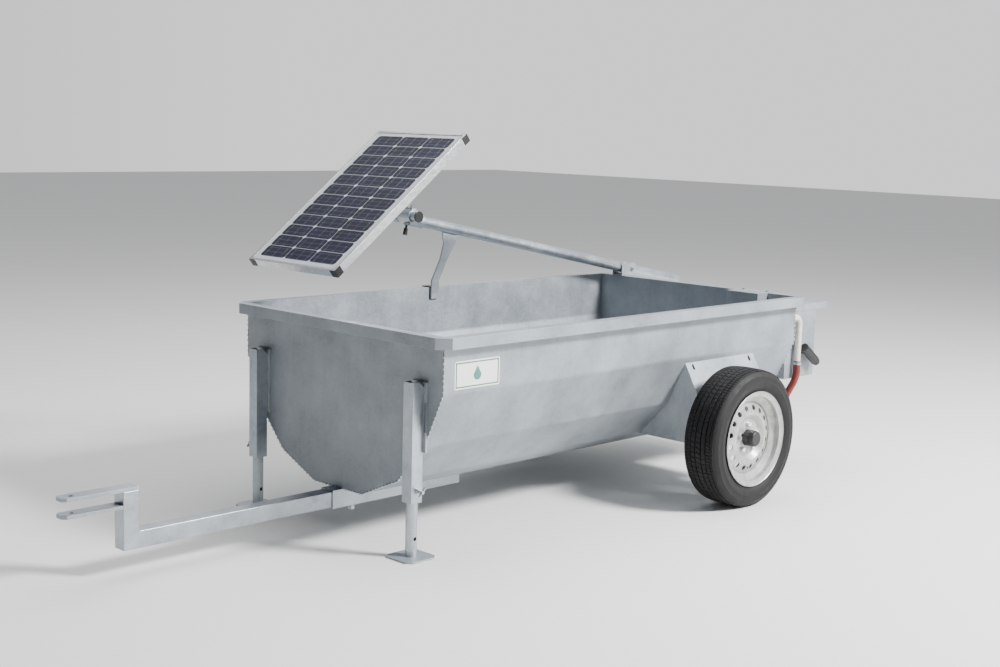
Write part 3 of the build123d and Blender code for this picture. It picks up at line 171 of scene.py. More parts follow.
def galvanised(name, dark, middle, light, crystal, metallic, rough, streak):
    """Hot-dip galvanised steel: zinc crystals of so many millimetres, cloudy patches and runs."""
    made, tree, shader, place = begin(name, Metallic=metallic)
    cloud = add(tree, "TexNoise", {"Vector": place, "Scale": per_mm(190), "Detail": 5.0, "Roughness": 0.62})
    bent = add(tree, "TexNoise", {"Vector": place, "Scale": per_mm(crystal * 1.6), "Detail": 3.0})
    sway = {0: bent.outputs["Color"], 1: (0.012, 0.012, 0.012)}
    offset = add(tree, "VectorMath", sway, operation="MULTIPLY")
    moved = add(tree, "VectorMath", {0: place, 1: offset.outputs["Vector"]}, operation="ADD")
    flake = add(tree, "TexVoronoi", {"Vector": moved.outputs["Vector"], "Scale": per_mm(crystal)})
    flake_value = add(tree, "SeparateColor", {"Color": flake.outputs["Color"]}).outputs["Red"]
    grit = add(tree, "TexNoise", {"Vector": place, "Scale": per_mm(4.5), "Detail": 4.0, "Roughness": 0.7})
    stretched = add(tree, "Mapping", {"Vector": place, "Scale": streak})
    run = add(tree, "TexNoise", {"Vector": stretched.outputs["Vector"], "Scale": per_mm(26), "Detail": 4.0})
    cloudy = span(tree, cloud.outputs["Fac"], 0.32, 0.68, 0.0, 1.0)
    base = blend_colours(tree, cloudy, linear(middle), linear(light))
    runs = span(tree, run.outputs["Fac"], 0.52, 0.8, 0.0, 0.2)
    with_runs = blend_colours(tree, runs, base, linear(dark))
    flakes = span(tree, flake_value, 0.0, 1.0, 0.0, 0.3)
    with_flakes = blend_colours(tree, flakes, with_runs, linear(light))
    specks = span(tree, grit.outputs["Fac"], 0.5, 0.75, 0.0, 0.32)
    colour = blend_colours(tree, specks, with_flakes, linear(dark))
    wear = add(tree, "Math", {0: flake_value, 1: cloudy}, operation="MULTIPLY")
    roughness = span(tree, wear.outputs["Value"], 0.0, 0.7, rough - 0.07, rough + 0.1)
    height = add(tree, "Math", {0: grit.outputs["Fac"], 1: flake_value}, operation="ADD")
    finish_material(tree, shader, colour, roughness, height.outputs["Value"], 0.00018)
    return made


def tyre_rubber():
    """Vulcanised black rubber: matt, with a brown bloom of dust and a fine pebbled skin."""
    made, tree, shader, place = begin("tyre_rubber", Specular_IOR_Level=0.35)
    dust = add(tree, "TexNoise", {"Vector": place, "Scale": per_mm(45), "Detail": 6.0, "Roughness": 0.7})
    skin = add(tree, "TexNoise", {"Vector": place, "Scale": per_mm(1.6), "Detail": 3.0})
    dusty = span(tree, dust.outputs["Fac"], 0.42, 0.8, 0.0, 0.75)
    colour = blend_colours(tree, dusty, linear("0E0F10"), linear("1F1D1B"))
    roughness = span(tree, dust.outputs["Fac"], 0.3, 0.7, 0.52, 0.78)
    finish_material(tree, shader, colour, roughness, skin.outputs["Fac"], 0.00025)
    return made


def painted_metal(name, colour_low, colour_high, rough, metallic, coat):
    """Sprayed paint on steel: an orange-peel skin, a little dirt and a soft coat."""
    made, tree, shader, place = begin(name, Metallic=metallic, Coat_Weight=coat, Coat_Roughness=0.2)
    peel = add(tree, "TexNoise", {"Vector": place, "Scale": per_mm(2.2), "Detail": 2.0})
    dirt = add(tree, "TexNoise", {"Vector": place, "Scale": per_mm(38), "Detail": 6.0, "Roughness": 0.66})
    dirty = span(tree, dirt.outputs["Fac"], 0.4, 0.72, 0.0, 1.0)
    colour = blend_colours(tree, dirty, linear(colour_high), linear(colour_low))
    roughness = span(tree, dirt.outputs["Fac"], 0.3, 0.7, rough - 0.05, rough + 0.12)
    finish_material(tree, shader, colour, roughness, peel.outputs["Fac"], 0.00005)
    return made


def moulded_plastic(name, colour_low, colour_high, grain, rough):
    """Injection-moulded plastic: a spark-eroded grain of so many millimetres and faint handling marks."""
    made, tree, shader, place = begin(name, IOR=1.5)
    pebble = add(tree, "TexVoronoi", {"Vector": place, "Scale": per_mm(grain)})
    marks = add(tree, "TexNoise", {"Vector": place, "Scale": per_mm(22), "Detail": 6.0, "Roughness": 0.7})
    marked = span(tree, marks.outputs["Fac"], 0.35, 0.7, 0.0, 1.0)
    colour = blend_colours(tree, marked, linear(colour_low), linear(colour_high))
    roughness = span(tree, marks.outputs["Fac"], 0.3, 0.7, rough - 0.08, rough + 0.1)
    finish_material(tree, shader, colour, roughness, pebble.outputs["Distance"], 0.0001)
    return made


def bare_metal(name, colour_low, colour_high, rough, grain):
    """Bare or plated metal: full metal, with fine scratches stretched along one way."""
    made, tree, shader, place = begin(name, Metallic=1.0)
    stretched = add(tree, "Mapping", {"Vector": place, "Scale": grain})
    along = stretched.outputs["Vector"]
    scratch = add(tree, "TexNoise", {"Vector": along, "Scale": per_mm(3), "Detail": 5.0})
    patch = add(tree, "TexNoise", {"Vector": place, "Scale": per_mm(16), "Detail": 4.0})
    patched = span(tree, patch.outputs["Fac"], 0.35, 0.65, 0.0, 1.0)
    colour = blend_colours(tree, patched, linear(colour_low), linear(colour_high))
    roughness = span(tree, scratch.outputs["Fac"], 0.3, 0.7, rough - 0.07, rough + 0.1)
    finish_material(tree, shader, colour, roughness, scratch.outputs["Fac"], 0.00004)
    return made


def solar_cell():
    """Monocrystalline silicon under glass: navy with a faint drift, fine silver fingers and a thin coat."""
    numbers = {"Coat_Weight": 0.25, "Coat_Roughness": 0.06, "Specular_IOR_Level": 0.15}
    made, tree, shader, place = begin("solar_cell", **numbers)
    drift = add(tree, "TexNoise", {"Vector": place, "Scale": per_mm(120), "Detail": 3.0})
    grain = add(tree, "TexNoise", {"Vector": place, "Scale": per_mm(2.4), "Detail": 3.0})
    level = add(tree, "Mapping", {"Vector": place, "Rotation": (0.0, PANEL_ANGLE, 0.0)})
    lines = {"Vector": level.outputs["Vector"], "Scale": per_mm(4) / 20, "Distortion": 0.0}
    finger = add(tree, "TexWave", lines)
    drifted = span(tree, drift.outputs["Fac"], 0.3, 0.7, 0.0, 1.0)
    silicon = blend_colours(tree, drifted, linear("090B24"), linear("121436"))
    fingers = span(tree, finger.outputs["Fac"], 0.8, 1.0, 0.0, 0.12)
    colour = blend_colours(tree, fingers, silicon, linear("8C93AE"))
    roughness = span(tree, grain.outputs["Fac"], 0.3, 0.7, 0.26, 0.4)
    finish_material(tree, shader, colour, roughness, grain.outputs["Fac"], 0.00002)
    return made


def glazed_sheet(name, low, high):
    """White backing film seen through glass, or a vinyl print: a smooth coat over a nearly even colour."""
    made, tree, shader, place = begin(name, Coat_Weight=1.0, Coat_Roughness=0.06)
    drift = add(tree, "TexNoise", {"Vector": place, "Scale": per_mm(60), "Detail": 4.0})
    fleck = add(tree, "TexNoise", {"Vector": place, "Scale": per_mm(1.2), "Detail": 2.0})
    drifted = span(tree, drift.outputs["Fac"], 0.3, 0.7, 0.0, 1.0)
    colour = blend_colours(tree, drifted, linear(low), linear(high))
    roughness = span(tree, fleck.outputs["Fac"], 0.3, 0.7, 0.34, 0.46)
    finish_material(tree, shader, colour, roughness, fleck.outputs["Fac"], 0.00002)
    return made


def studio_floor():
    """Pale matt paper."""
    made, tree, shader, place = begin("studio_floor")
    fibre = add(tree, "TexNoise", {"Vector": place, "Scale": per_mm(30), "Detail": 3.0})
    faint = span(tree, fibre.outputs["Fac"], 0.3, 0.7, 0.0, 1.0)
    colour = blend_colours(tree, faint, linear("EDEDEB"), linear("F0F0EE"))
    roughness = span(tree, fibre.outputs["Fac"], 0.3, 0.7, 0.82, 0.9)
    finish_material(tree, shader, colour, roughness, fibre.outputs["Fac"], 0.00002)
    return made


SLOT_MATERIAL = {
    "galvanised_sheet": galvanised(
        "galvanised_sheet", "5F656B", "858B91", "A5ABB1", 9, 0.4, 0.5, (1.0, 1.0, 0.12),
    ),
    "galvanised_tube": galvanised(
        "galvanised_tube", "5D646C", "90979F", "BFC6CC", 18, 0.8, 0.36, (0.15, 1.0, 1.0),
    ),
    "galvanised_plate": galvanised(
        "galvanised_plate", "60666C", "8C9298", "B0B6BB", 10, 0.5, 0.48, (1.0, 1.0, 0.3),
    ),
    "zinc_fastener": bare_metal("zinc_fastener", "9DA0A3", "C9CCD0", 0.3, (1.0, 1.0, 0.2)),
    "bright_steel": bare_metal("bright_steel", "8F9194", "B5B8BB", 0.25, (1.0, 0.1, 1.0)),
    "tyre_rubber": tyre_rubber(),
    "wheel_paint": painted_metal("wheel_paint", "8D908C", "B4B7B3", 0.36, 0.35, 0.3),
    "hub_casting": painted_metal("hub_casting", "1B1B1C", "2B2B2C", 0.5, 0.0, 0.2),
    "black_plastic": moulded_plastic("black_plastic", "0F0F10", "1C1C1D", 1.2, 0.42),
    "anodised_frame": bare_metal("anodised_frame", "C9CBCD", "DEE0E2", 0.34, (0.05, 1.0, 1.0)),
    "solar_glass": solar_cell(),
    "pvc_pipe": moulded_plastic("pvc_pipe", "CFCBC0", "E6E3DA", 2.5, 0.4),
    "red_hose": moulded_plastic("red_hose", "5E1A14", "7C2920", 1.5, 0.45),
    "float_plastic": moulded_plastic("float_plastic", "C25A16", "D97024", 1.5, 0.45),
    "battery_case": moulded_plastic("battery_case", "1D1D20", "2B2C30", 1.0, 0.5),
    "pump_paint": painted_metal("pump_paint", "12304F", "1B4570", 0.35, 0.0, 0.4),
    "controller_case": moulded_plastic("controller_case", "8C9096", "A3A7AC", 1.0, 0.5),
    "brass": bare_metal("brass", "A5823F", "C9A75A", 0.3, (1.0, 1.0, 1.0)),
}
CHROME = bare_metal("chrome_plate", "D5D7DA", "F2F3F4", 0.12, (1.0, 1.0, 1.0))
BACKING = glazed_sheet("panel_backing_film", "DDE1E8", "EEF1F5")
VINYL = glazed_sheet("sticker_vinyl", "ECECE8", "F5F5F2")
PRINT = glazed_sheet("sticker_print", "1E6B63", "26766D")
WELD = galvanised("galvanised_weld", "7B8187", "B6BCC2", "DDE1E4", 6, 0.6, 0.36, (1.0, 1.0, 1.0))


# ---- mesh helpers ---------------------------------------------------------------------------------------

SHARP = math.radians(32)


def place_piece(name, bm, body, material, smooth=True, replaced=(), sharp=SHARP):
    """Makes an object of a bmesh, gives it its finish and lets it ride on its body."""
    mesh = bpy.data.meshes.new(name)
    bm.to_mesh(mesh)
    bm.free()
    piece = bpy.data.objects.new(name, mesh)
    bpy.context.scene.collection.objects.link(piece)
    if smooth:
        mesh.shade_smooth()
        mesh.set_sharp_from_angle(angle=sharp)
    mesh.materials.append(material)
    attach(piece, body)
    if replaced:
        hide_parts(*replaced)
    return piece


def even_shading(piece):
    """Keeps broad flat faces flat beside their rounded edges."""
    modifier = piece.modifiers.new("even_shading", "WEIGHTED_NORMAL")
    modifier.keep_sharp = True


def rounded_copy(node, edge, angle=30, segments=2):
    """Copy of a CAD node, merged, with every sharp edge rounded by so many millimetres."""
    bm = bmesh.new()
    bm.from_mesh(frame["nodes"][node].data)
    bmesh.ops.remove_doubles(bm, verts=bm.verts, dist=0.00002)
    bmesh.ops.dissolve_limit(bm, angle_limit=math.radians(1), verts=bm.verts, edges=bm.edges)
    limit = math.radians(angle)
    sharp = [e for e in bm.edges if len(e.link_faces) == 2 and e.calc_face_angle(0) > limit]
    bmesh.ops.bevel(
        bm, geom=sharp, offset=edge * MM, offset_type="OFFSET", segments=segments, profile=0.5,
        affect="EDGES", material=-1, clamp_overlap=True,
    )
    return bm


def rounded_node(node, edge, angle=30, segments=2, material=None):
    """The rounded copy stands for its node, with the finish of the node's slot."""
    slot = SLOT_OF[node]
    bm = rounded_copy(node, edge, angle, segments)
    finish = material or SLOT_MATERIAL[slot]
    piece = place_piece(node + "_finished", bm, BODY_OF[node], finish, replaced=(node,))
    even_shading(piece)
    return piece


def turned_about(bm, profile, centre, steps):
    """Adds a closed ring to the bmesh: a profile of (Y, radius) points turned about the axle line."""
    chain = [bm.verts.new((centre.x, y * MM, centre.z + r * MM)) for y, r in profile]
    edges = [bm.edges.new((a, b)) for a, b in zip(chain, chain[1:] + chain[:1])]
    bmesh.ops.spin(
        bm, geom=chain + edges, cent=(centre.x, 0, centre.z), axis=(0, 1, 0), angle=2 * math.pi,
        steps=steps, use_merge=True, use_duplicate=False,
    )


def middle(node):
    """Middle of a node's box."""
    low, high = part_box(node)
    return (low + high) / 2


def tilted(point, x_axis, y_axis, z_axis):
    """Matrix that carries a shape's own axes and origin to a place on the object."""
    columns = Matrix((x_axis, y_axis, z_axis)).transposed().to_4x4()
    return Matrix.Translation(point) @ columns


# ---- frame, rim and trough ------------------------------------------------------------------------------

shell_low, shell_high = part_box("trough_shell")
ends_low, ends_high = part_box("end_plates")
rim_low, rim_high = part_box("rim_frame")


def trough_skin():
    """The folded wall and floor: a chain of folds drawn along the trough, rounded at each fold."""
    half = [(WALL_HALF, rim_high.z / MM), (WALL_HALF, UPPER_FOLD), (MIDDLE_HALF, MIDDLE_FOLD)]
    half += [(LOWER_HALF, LOWER_FOLD), (FLOOR_HALF, FLOOR)]
    section = half + [(-y, z) for y, z in reversed(half)]
    bm = bmesh.new()
    chain = [bm.verts.new((ends_low.x, y * MM, z * MM)) for y, z in section]
    edges = [bm.edges.new(pair) for pair in zip(chain, chain[1:])]
    drawn = bmesh.ops.extrude_edge_only(bm, edges=edges)
    far = [item for item in drawn["geom"] if isinstance(item, bmesh.types.BMVert)]
    bmesh.ops.translate(bm, verts=far, vec=(ends_high.x - ends_low.x, 0, 0))
    folds = [e for e in bm.edges if len(e.link_faces) == 2]
    bmesh.ops.bevel(
        bm, geom=folds, offset=FOLD_RADIUS * MM, offset_type="OFFSET", segments=4, profile=0.5,
        affect="EDGES", material=-1, clamp_overlap=True,
    )
    bmesh.ops.recalc_face_normals(bm, faces=bm.faces)
    floor = min(bm.faces, key=lambda face: face.calc_center_median().z)
    if floor.normal.z > 0:
        bmesh.ops.reverse_faces(bm, faces=bm.faces)
    piece = place_piece(
        "trough_skin", bm, "trough", SLOT_MATERIAL["galvanised_sheet"],
        replaced=("trough_shell",), sharp=FOLD_SHARP,
    )
    thick = piece.modifiers.new("sheet", "SOLIDIFY")
    thick.thickness = SHEET * MM
    thick.offset = -1
    even_shading(piece)


trough_skin()

ROUNDED = [
    ("end_plates", 0.8), ("rim_frame", 2.6), ("drawbar", 5), ("drawbar_sleeve", 4), ("hitch_plates", 1.5),
    ("drawbar_clamp_bolt", 1.2), ("leg_sheaths", 4), ("leg_mounts", 1.2), ("leg_tube_left", 0.8),
    ("leg_tube_right", 0.8), ("foot_plate_left", 1.2), ("foot_plate_right", 1.2), ("leg_screw_left", 1),
    ("leg_screw_right", 1), ("axle_brackets", 1.6), ("mast_bracket", 1.4), ("mast_pivot_bolt", 1),
    ("mast_tube", 1.2), ("tee_head", 1.6), ("tee_bolts", 1), ("prop_bar", 1.4), ("rim_hook", 1),
    ("spindle", 1), ("panel_arm", 2), ("panel_rails", 0.8), ("panel_frame", 0.7), ("corner_caps", 0.7),
    ("junction_box", 3), ("pump_box", 0.8), ("pump_box_lid", 0.8), ("lid_hinges", 0.6), ("battery", 2),
    ("pump", 3), ("charge_controller", 2), ("suction_coupling", 2), ("riser_pipe", 1), ("feed_hose", 1.5),
    ("hose_clips", 0.5), ("pump_outlet", 1), ("valve_guard", 0.8), ("rim_bolts", 0.8), ("float_valve", 1.5),
    ("float_arm", 1), ("stub_axles", 2), ("axle_nuts", 1.5), ("wheel_bearings", 1), ("hub_left", 2),
    ("hub_right", 2), ("wheel_rim_left", 1.6), ("wheel_rim_right", 1.6),
]
for node, edge in ROUNDED:
    rounded_node(node, edge)
for node in ("wheel_bolts_left", "wheel_bolts_right"):
    rounded_node(node, 1.5, material=CHROME)
for node, edge in (("hub_cap_left", 3), ("hub_cap_right", 3), ("head_knob", 1.5), ("spindle_caps", 2)):
    rounded_node(node, edge)


def welds():
    """Tack beads where the folded sheet meets each end plate."""
    half = [(WALL_HALF, UPPER_FOLD), (MIDDLE_HALF, MIDDLE_FOLD)]
    half += [(LOWER_HALF, LOWER_FOLD), (FLOOR_HALF, FLOOR)]
    top = [(WALL_HALF, rim_low.z / MM)]
    section = top + half + [(-y, z) for y, z in reversed(top + half)]
    bm = bmesh.new()
    for end in (ends_low.x, ends_high.x):
        for (y0, z0), (y1, z1) in zip(section, section[1:]):
            count = max(1, round(math.hypot(y1 - y0, z1 - z0) / WELD_STEP))
            for step in range(count):
                share = (step + rng.uniform(*WELD_PLACE_SPREAD)) / count
                spot = Vector((end, (y0 + (y1 - y0) * share) * MM, (z0 + (z1 - z0) * share) * MM))
                stretch = [rng.uniform(*WELD_SIZE_SPREAD) for _ in range(2)]
                size = Matrix.Diagonal((1.0, *stretch, 1.0))
                place = Matrix.Translation(spot) @ size
                bmesh.ops.create_icosphere(bm, subdivisions=1, radius=WELD_RADIUS * MM, matrix=place)
    place_piece("end_plate_welds", bm, "trough", WELD)


welds()


def valve_stems():
    """Rubber tyre valve through each wheel, below the hub."""
    for side_name, side in (("left", -1), ("right", 1)):
        disc = middle("wheel_bolts_" + side_name)
        spot = Vector((disc.x, disc.y, middle("tyre_" + side_name).z - VALVE_DROP * MM))
        turn = Matrix.Rotation(math.pi / 2, 4, "X")
        bm = bmesh.new()
        bmesh.ops.create_cone(
            bm, cap_ends=True, segments=16, radius1=VALVE_RADIUS * MM, radius2=VALVE_RADIUS * MM,
            depth=VALVE_LENGTH * MM, matrix=Matrix.Translation(spot) @ turn,
        )
        finish = SLOT_MATERIAL["black_plastic"]
        place_piece("valve_stem_" + side_name, bm, "wheel_" + side_name, finish)


valve_stems()


# ---- tyres ----------------------------------------------------------------------------------------------

def tyre_section(side, centre_y):
    """Section of the tyre without its tread blocks, as (Y, radius) points, in millimetres."""
    ground = TYRE_RADIUS - GROOVE_DEPTH
    outer = [
        (69, BEAD_RADIUS), (69, BEAD_RADIUS + 12), (73, BEAD_RADIUS + 16), (74.5, BEAD_RADIUS + 20),
        (74, BEAD_RADIUS + 23), (80, BEAD_RADIUS + 32), (84, BEAD_RADIUS + 44), (85.4, BEAD_RADIUS + 52),
        (86, BEAD_RADIUS + 54), (85.2, BEAD_RADIUS + 56), (84.6, BEAD_RADIUS + 66), (82.6, BEAD_RADIUS + 76),
        (83.2, BEAD_RADIUS + 78), (81.8, BEAD_RADIUS + 80), (77, 270), (71, ground - 3),
        (TREAD_HALF, ground - 1), (40, ground + 0.2),
    ]
    inner = [(30, 270), (72, 246), (73, 228), (62, 200), (55, BEAD_RADIUS)]
    ring = outer + [(-y, r) for y, r in reversed(outer)]
    ring += [(-y, r) for y, r in reversed(inner)] + inner
    return [(centre_y + side * y, r) for y, r in ring]


def tread_row(bm, centre, row_y, width, pitches, depth, skew, drop):
    """Adds one row of bevelled tread blocks round the tyre."""
    pitch = 2 * math.pi / pitches
    long = (TYRE_RADIUS * pitch - SIPE_WIDTH) * MM
    made = bmesh.ops.create_cube(bm, size=1)
    block = made["verts"]
    bmesh.ops.scale(bm, verts=block, vec=(long, width * MM, depth * MM))
    for vert in block:
        vert.co.x += skew * MM * (1 if vert.co.y > 0 else -1)
        if vert.co.z < 0:
            vert.co.z -= 2 * MM
    edges = list({e for v in block for e in v.link_edges if v.co.z > 0 and e.other_vert(v).co.z > 0})
    bevelled = bmesh.ops.bevel(
        bm, geom=edges, offset=0.9 * MM, offset_type="OFFSET", segments=1, profile=0.5, affect="EDGES",
        material=-1, clamp_overlap=True,
    )
    verts = list({v for face in bevelled["faces"] for v in face.verts} | {v for v in block if v.is_valid})
    verts = list({w for v in verts for e in v.link_edges for w in e.verts})
    crown = TYRE_RADIUS * math.cos(pitch / 2)
    place = Vector((centre.x, row_y, centre.z + (crown - drop - depth / 2) * MM))
    bmesh.ops.translate(bm, verts=verts, vec=place)
    faces = list({f for v in verts for f in v.link_faces})
    edges = list({e for v in verts for e in v.link_edges})
    bmesh.ops.spin(
        bm, geom=verts + edges + faces, cent=(centre.x, 0, centre.z), axis=(0, 1, 0), angle=2 * math.pi,
        steps=pitches, use_merge=False, use_duplicate=True,
    )


def tyre(side_name, side):
    """Treaded tyre that stands for its node: the carcass and seven rows of blocks."""
    centre = middle("tyre_" + side_name)
    bm = bmesh.new()
    turned_about(bm, tyre_section(side, centre.y / MM), centre, 144)
    bmesh.ops.remove_doubles(bm, verts=bm.verts, dist=0.00001)
    bmesh.ops.recalc_face_normals(bm, faces=bm.faces)
    # offset from the middle, width, blocks round the tyre, skew and drop of each row
    rows = [(0, 22, MIDDLE_PITCHES, 3.5, 0.0)]
    rows += [(-25, 18, MIDDLE_PITCHES, -3, 0.4), (25, 18, MIDDLE_PITCHES, 3, 0.4)]
    rows += [(-46, 15, SHOULDER_PITCHES, 1.5, 1.6), (46, 15, SHOULDER_PITCHES, -1.5, 1.6)]
    rows += [(-63, 13, SHOULDER_PITCHES, 0.5, 3.8), (63, 13, SHOULDER_PITCHES, -0.5, 3.8)]
    for offset, width, pitches, skew, drop in rows:
        blocks = bmesh.new()
        depth = GROOVE_DEPTH - drop / 2
        tread_row(blocks, centre, centre.y + offset * MM, width, pitches, depth, skew, drop)
        extra = bpy.data.meshes.new("tread_row")
        blocks.to_mesh(extra)
        blocks.free()
        bm.from_mesh(extra)
        bpy.data.meshes.remove(extra)
    node = "tyre_" + side_name
    finish = SLOT_MATERIAL["tyre_rubber"]
    place_piece(node + "_treaded", bm, BODY_OF[node], finish, replaced=(node,))


for side_name, side in (("left", -1), ("right", 1)):
    tyre(side_name, side)


# ---- solar panel and sticker ----------------------------------------------------------------------------

def plate(size, corner=0.0):
    """Mesh of a flat plate of (X, Y, thickness) millimetres on its own origin, its corners cut."""
    bm = bmesh.new()
    bmesh.ops.create_grid(bm, x_segments=1, y_segments=1, size=0.5)
    bmesh.ops.scale(bm, verts=bm.verts, vec=(size[0] * MM, size[1] * MM, 1))
    if corner:
        bmesh.ops.bevel(
            bm, geom=bm.verts, offset=corner * MM, offset_type="OFFSET", segments=1, profile=0.5,
            affect="VERTICES", material=-1, clamp_overlap=True,
        )
    risen = bmesh.ops.extrude_face_region(bm, geom=bm.faces[:])
    top = [item for item in risen["geom"] if isinstance(item, bmesh.types.BMVert)]
    bmesh.ops.translate(bm, verts=top, vec=(0, 0, size[2] * MM))
    bmesh.ops.recalc_face_normals(bm, faces=bm.faces)
    mesh = bpy.data.meshes.new("plate")
    bm.to_mesh(mesh)
    bm.free()
    return mesh


def spread(bm, mesh, place, spots):
    """Adds a copy of the mesh at each (X, Y, Z) spot, in millimetres of the plate's own axes."""
    for spot in spots:
        before = len(bm.verts)
        bm.from_mesh(mesh)
        bm.verts.ensure_lookup_table()
        added = bm.verts[before:]
        bmesh.ops.transform(bm, matrix=place @ Matrix.Translation(Vector(spot) * MM), verts=added)


def solar_panel():
    """White film, chamfered cells and bus bars, all within the laminate of the frame."""
    slope = Vector((math.cos(PANEL_ANGLE), 0, math.sin(PANEL_ANGLE)))
    across = Vector((0, 1, 0))
    normal = Vector((-math.sin(PANEL_ANGLE), 0, math.cos(PANEL_ANGLE)))
    points = [vert.co for vert in frame["nodes"]["panel_laminate"].data.vertices]
    reach = [(min(p.dot(a) for p in points), max(p.dot(a) for p in points)) for a in (slope, across, normal)]
    long, wide, thick = [(high - low) / MM for low, high in reach]
    centre = slope * sum(reach[0]) / 2 + across * sum(reach[1]) / 2 + normal * reach[2][0]
    place = tilted(centre, slope, across, normal)
    film_top = thick - FILM_DROP
    row_pitch = CELL_SHORT + CELL_GAP
    column_pitch = CELL_LONG + CELL_GAP
    rows = [(row - (CELL_ROWS - 1) / 2) * row_pitch for row in range(CELL_ROWS)]
    columns = [(column - (CELL_COLUMNS - 1) / 2) * column_pitch for column in range(CELL_COLUMNS)]
    shifts = [(bar - (BUS_COUNT - 1) / 2) * CELL_LONG / BUS_COUNT for bar in range(BUS_COUNT)]
    bars = [column + shift for column in columns for shift in shifts]
    run = CELL_ROWS * row_pitch - CELL_GAP
    layers = [
        ("panel_film", (long, wide, film_top), 0, [(0, 0, 0)], BACKING, ("panel_laminate",)),
        ("panel_cells", (CELL_SHORT, CELL_LONG, CELL_THICK), CELL_CORNER,
         [(x, y, film_top) for x in rows for y in columns], SLOT_MATERIAL["solar_glass"], ()),
        ("panel_bus_bars", (run, BUS_WIDTH, BUS_THICK), 0,
         [(0, y, film_top + CELL_THICK) for y in bars], SLOT_MATERIAL["bright_steel"], ()),
    ]
    for name, size, corner, spots, material, replaced in layers:
        bm = bmesh.new()
        spread(bm, plate(size, corner), place, spots)
        place_piece(name, bm, "panel", material, smooth=False, replaced=replaced)


solar_panel()


def sticker():
    """Plain white label with a border and a water drop, and no words."""
    near = Vector((0, -1, 0))
    low_x = shell_low.x / MM + STICKER_SETBACK
    centre = Vector((low_x + STICKER_LONG / 2, -WALL_HALF, STICKER_FOOT + STICKER_TALL / 2)) * MM
    place = tilted(centre, Vector((1, 0, 0)), Vector((0, 0, 1)), near)
    label = bmesh.new()
    spread(label, plate((STICKER_LONG, STICKER_TALL, STICKER_THICK), STICKER_CORNER), place, [(0, 0, 0)])
    place_piece("sticker_label", label, "trough", VINYL, smooth=False)
    ink = bmesh.new()
    level = STICKER_THICK
    reach_x = STICKER_LONG / 2 - 1.5 * PRINT_BORDER
    reach_y = STICKER_TALL / 2 - 1.5 * PRINT_BORDER
    flat = plate((2 * reach_x + PRINT_BORDER, PRINT_BORDER, STICKER_THICK))
    spread(ink, flat, place, [(0, -reach_y, level), (0, reach_y, level)])
    upright = plate((PRINT_BORDER, 2 * reach_y + PRINT_BORDER, STICKER_THICK))
    spread(ink, upright, place, [(-reach_x, 0, level), (reach_x, 0, level)])
    before = len(ink.verts)
    bmesh.ops.create_circle(ink, cap_ends=True, segments=40, radius=DROP_RADIUS * MM)
    ink.verts.ensure_lookup_table()
    drop = ink.verts[before:]
    for vert in drop:
        rise = max(0.0, vert.co.y / (DROP_RADIUS * MM))
        vert.co.x *= 1 - rise ** 1.5 * DROP_TAPER
        vert.co.y += rise ** 2 * DROP_RADIUS * DROP_TAPER * MM
    on_label = place @ Matrix.Translation((0, -DROP_SINK * MM, 2 * level * MM))
    bmesh.ops.transform(ink, matrix=on_label, verts=drop)
    place_piece("sticker_drop", ink, "trough", PRINT, smooth=False)


sticker()


# ---- floor, lights and camera ---------------------------------------------------------------------------

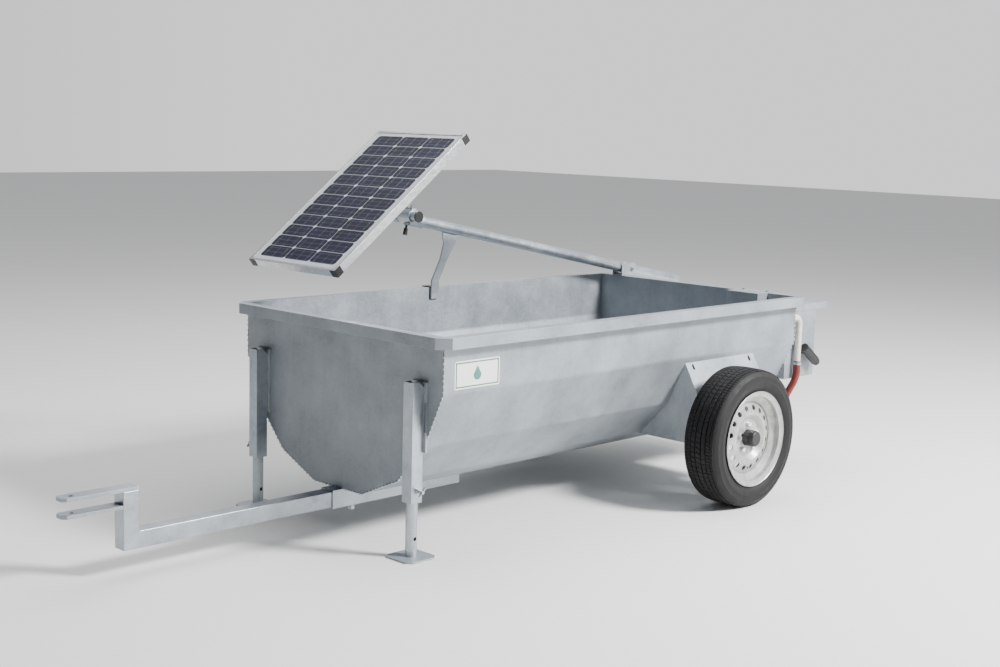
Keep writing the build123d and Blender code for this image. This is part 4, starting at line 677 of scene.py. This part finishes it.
def floor_and_lights():
    """Pale floor, two soft lights and a sky that is bright toward the rear."""
    bm = bmesh.new()
    bmesh.ops.create_grid(bm, x_segments=1, y_segments=1, size=30)
    mesh = bpy.data.meshes.new("studio_floor")
    bm.to_mesh(mesh)
    bm.free()
    floor = bpy.data.objects.new("studio_floor", mesh)
    mesh.materials.append(studio_floor())
    bpy.context.scene.collection.objects.link(floor)
    for name, place, size, power in LIGHTS:
        data = bpy.data.lights.new(name, "AREA")
        data.size = size
        data.energy = power
        light = bpy.data.objects.new(name, data)
        light.location = place
        light.rotation_euler = (LIGHT_TARGET - Vector(place)).to_track_quat("-Z", "Y").to_euler()
        bpy.context.scene.collection.objects.link(light)
    world = bpy.data.worlds.new("studio")
    world.use_nodes = True
    background = world.node_tree.nodes["Background"]
    tree = world.node_tree
    direction = add(tree, "SeparateXYZ", {"Vector": add(tree, "TexCoord").outputs["Generated"]})
    rearward = span(tree, direction.outputs["X"], -0.35, 0.6, 0.0, 1.0)
    sky = blend_colours(tree, rearward, linear(SKY_FRONT), linear(SKY_REAR))
    tree.links.new(sky, background.inputs["Color"])
    background.inputs["Strength"].default_value = WORLD_STRENGTH
    bpy.context.scene.world = world


LIGHT_TARGET = Vector((0.2, 0, 0.5))
LIGHTS = [
    ("key_light", (2.6, -5.4, 4.6), 1.4, 1250),
    ("top_light", (0.8, 1.2, 6.0), 5.0, 260),
]
WORLD_STRENGTH = 1.15
SKY_FRONT = "3A4149"
SKY_REAR = "FBFCFD"

# degrees, millimetres of lens, and metres
CAMERA_YAW = 44.68
CAMERA_PITCH = -8.22
CAMERA_ROLL = 1.51
CAMERA_LENS = 52.5
CAMERA_PLACE = (-4.118, -4.184, 1.532)


def camera():
    """Camera that looks from the front left, a little down."""
    yaw = math.radians(CAMERA_YAW)
    pitch = math.radians(CAMERA_PITCH)
    roll = math.radians(CAMERA_ROLL)
    forward = Vector((math.cos(yaw) * math.cos(pitch), math.sin(yaw) * math.cos(pitch), math.sin(pitch)))
    level = Vector((math.sin(yaw), -math.cos(yaw), 0))
    upright = level.cross(forward)
    right = level * math.cos(roll) + upright * math.sin(roll)
    up = upright * math.cos(roll) - level * math.sin(roll)
    data = bpy.data.cameras.new("camera")
    data.sensor_width = 36
    data.lens = CAMERA_LENS
    eye = bpy.data.objects.new("camera", data)
    eye.matrix_world = tilted(Vector(CAMERA_PLACE), right, up, -forward)
    bpy.context.scene.collection.objects.link(eye)
    bpy.context.scene.camera = eye


floor_and_lights()
camera()

for node, thing in frame["nodes"].items():
    thing.data.materials.clear()
    thing.data.materials.append(SLOT_MATERIAL[SLOT_OF[node]])
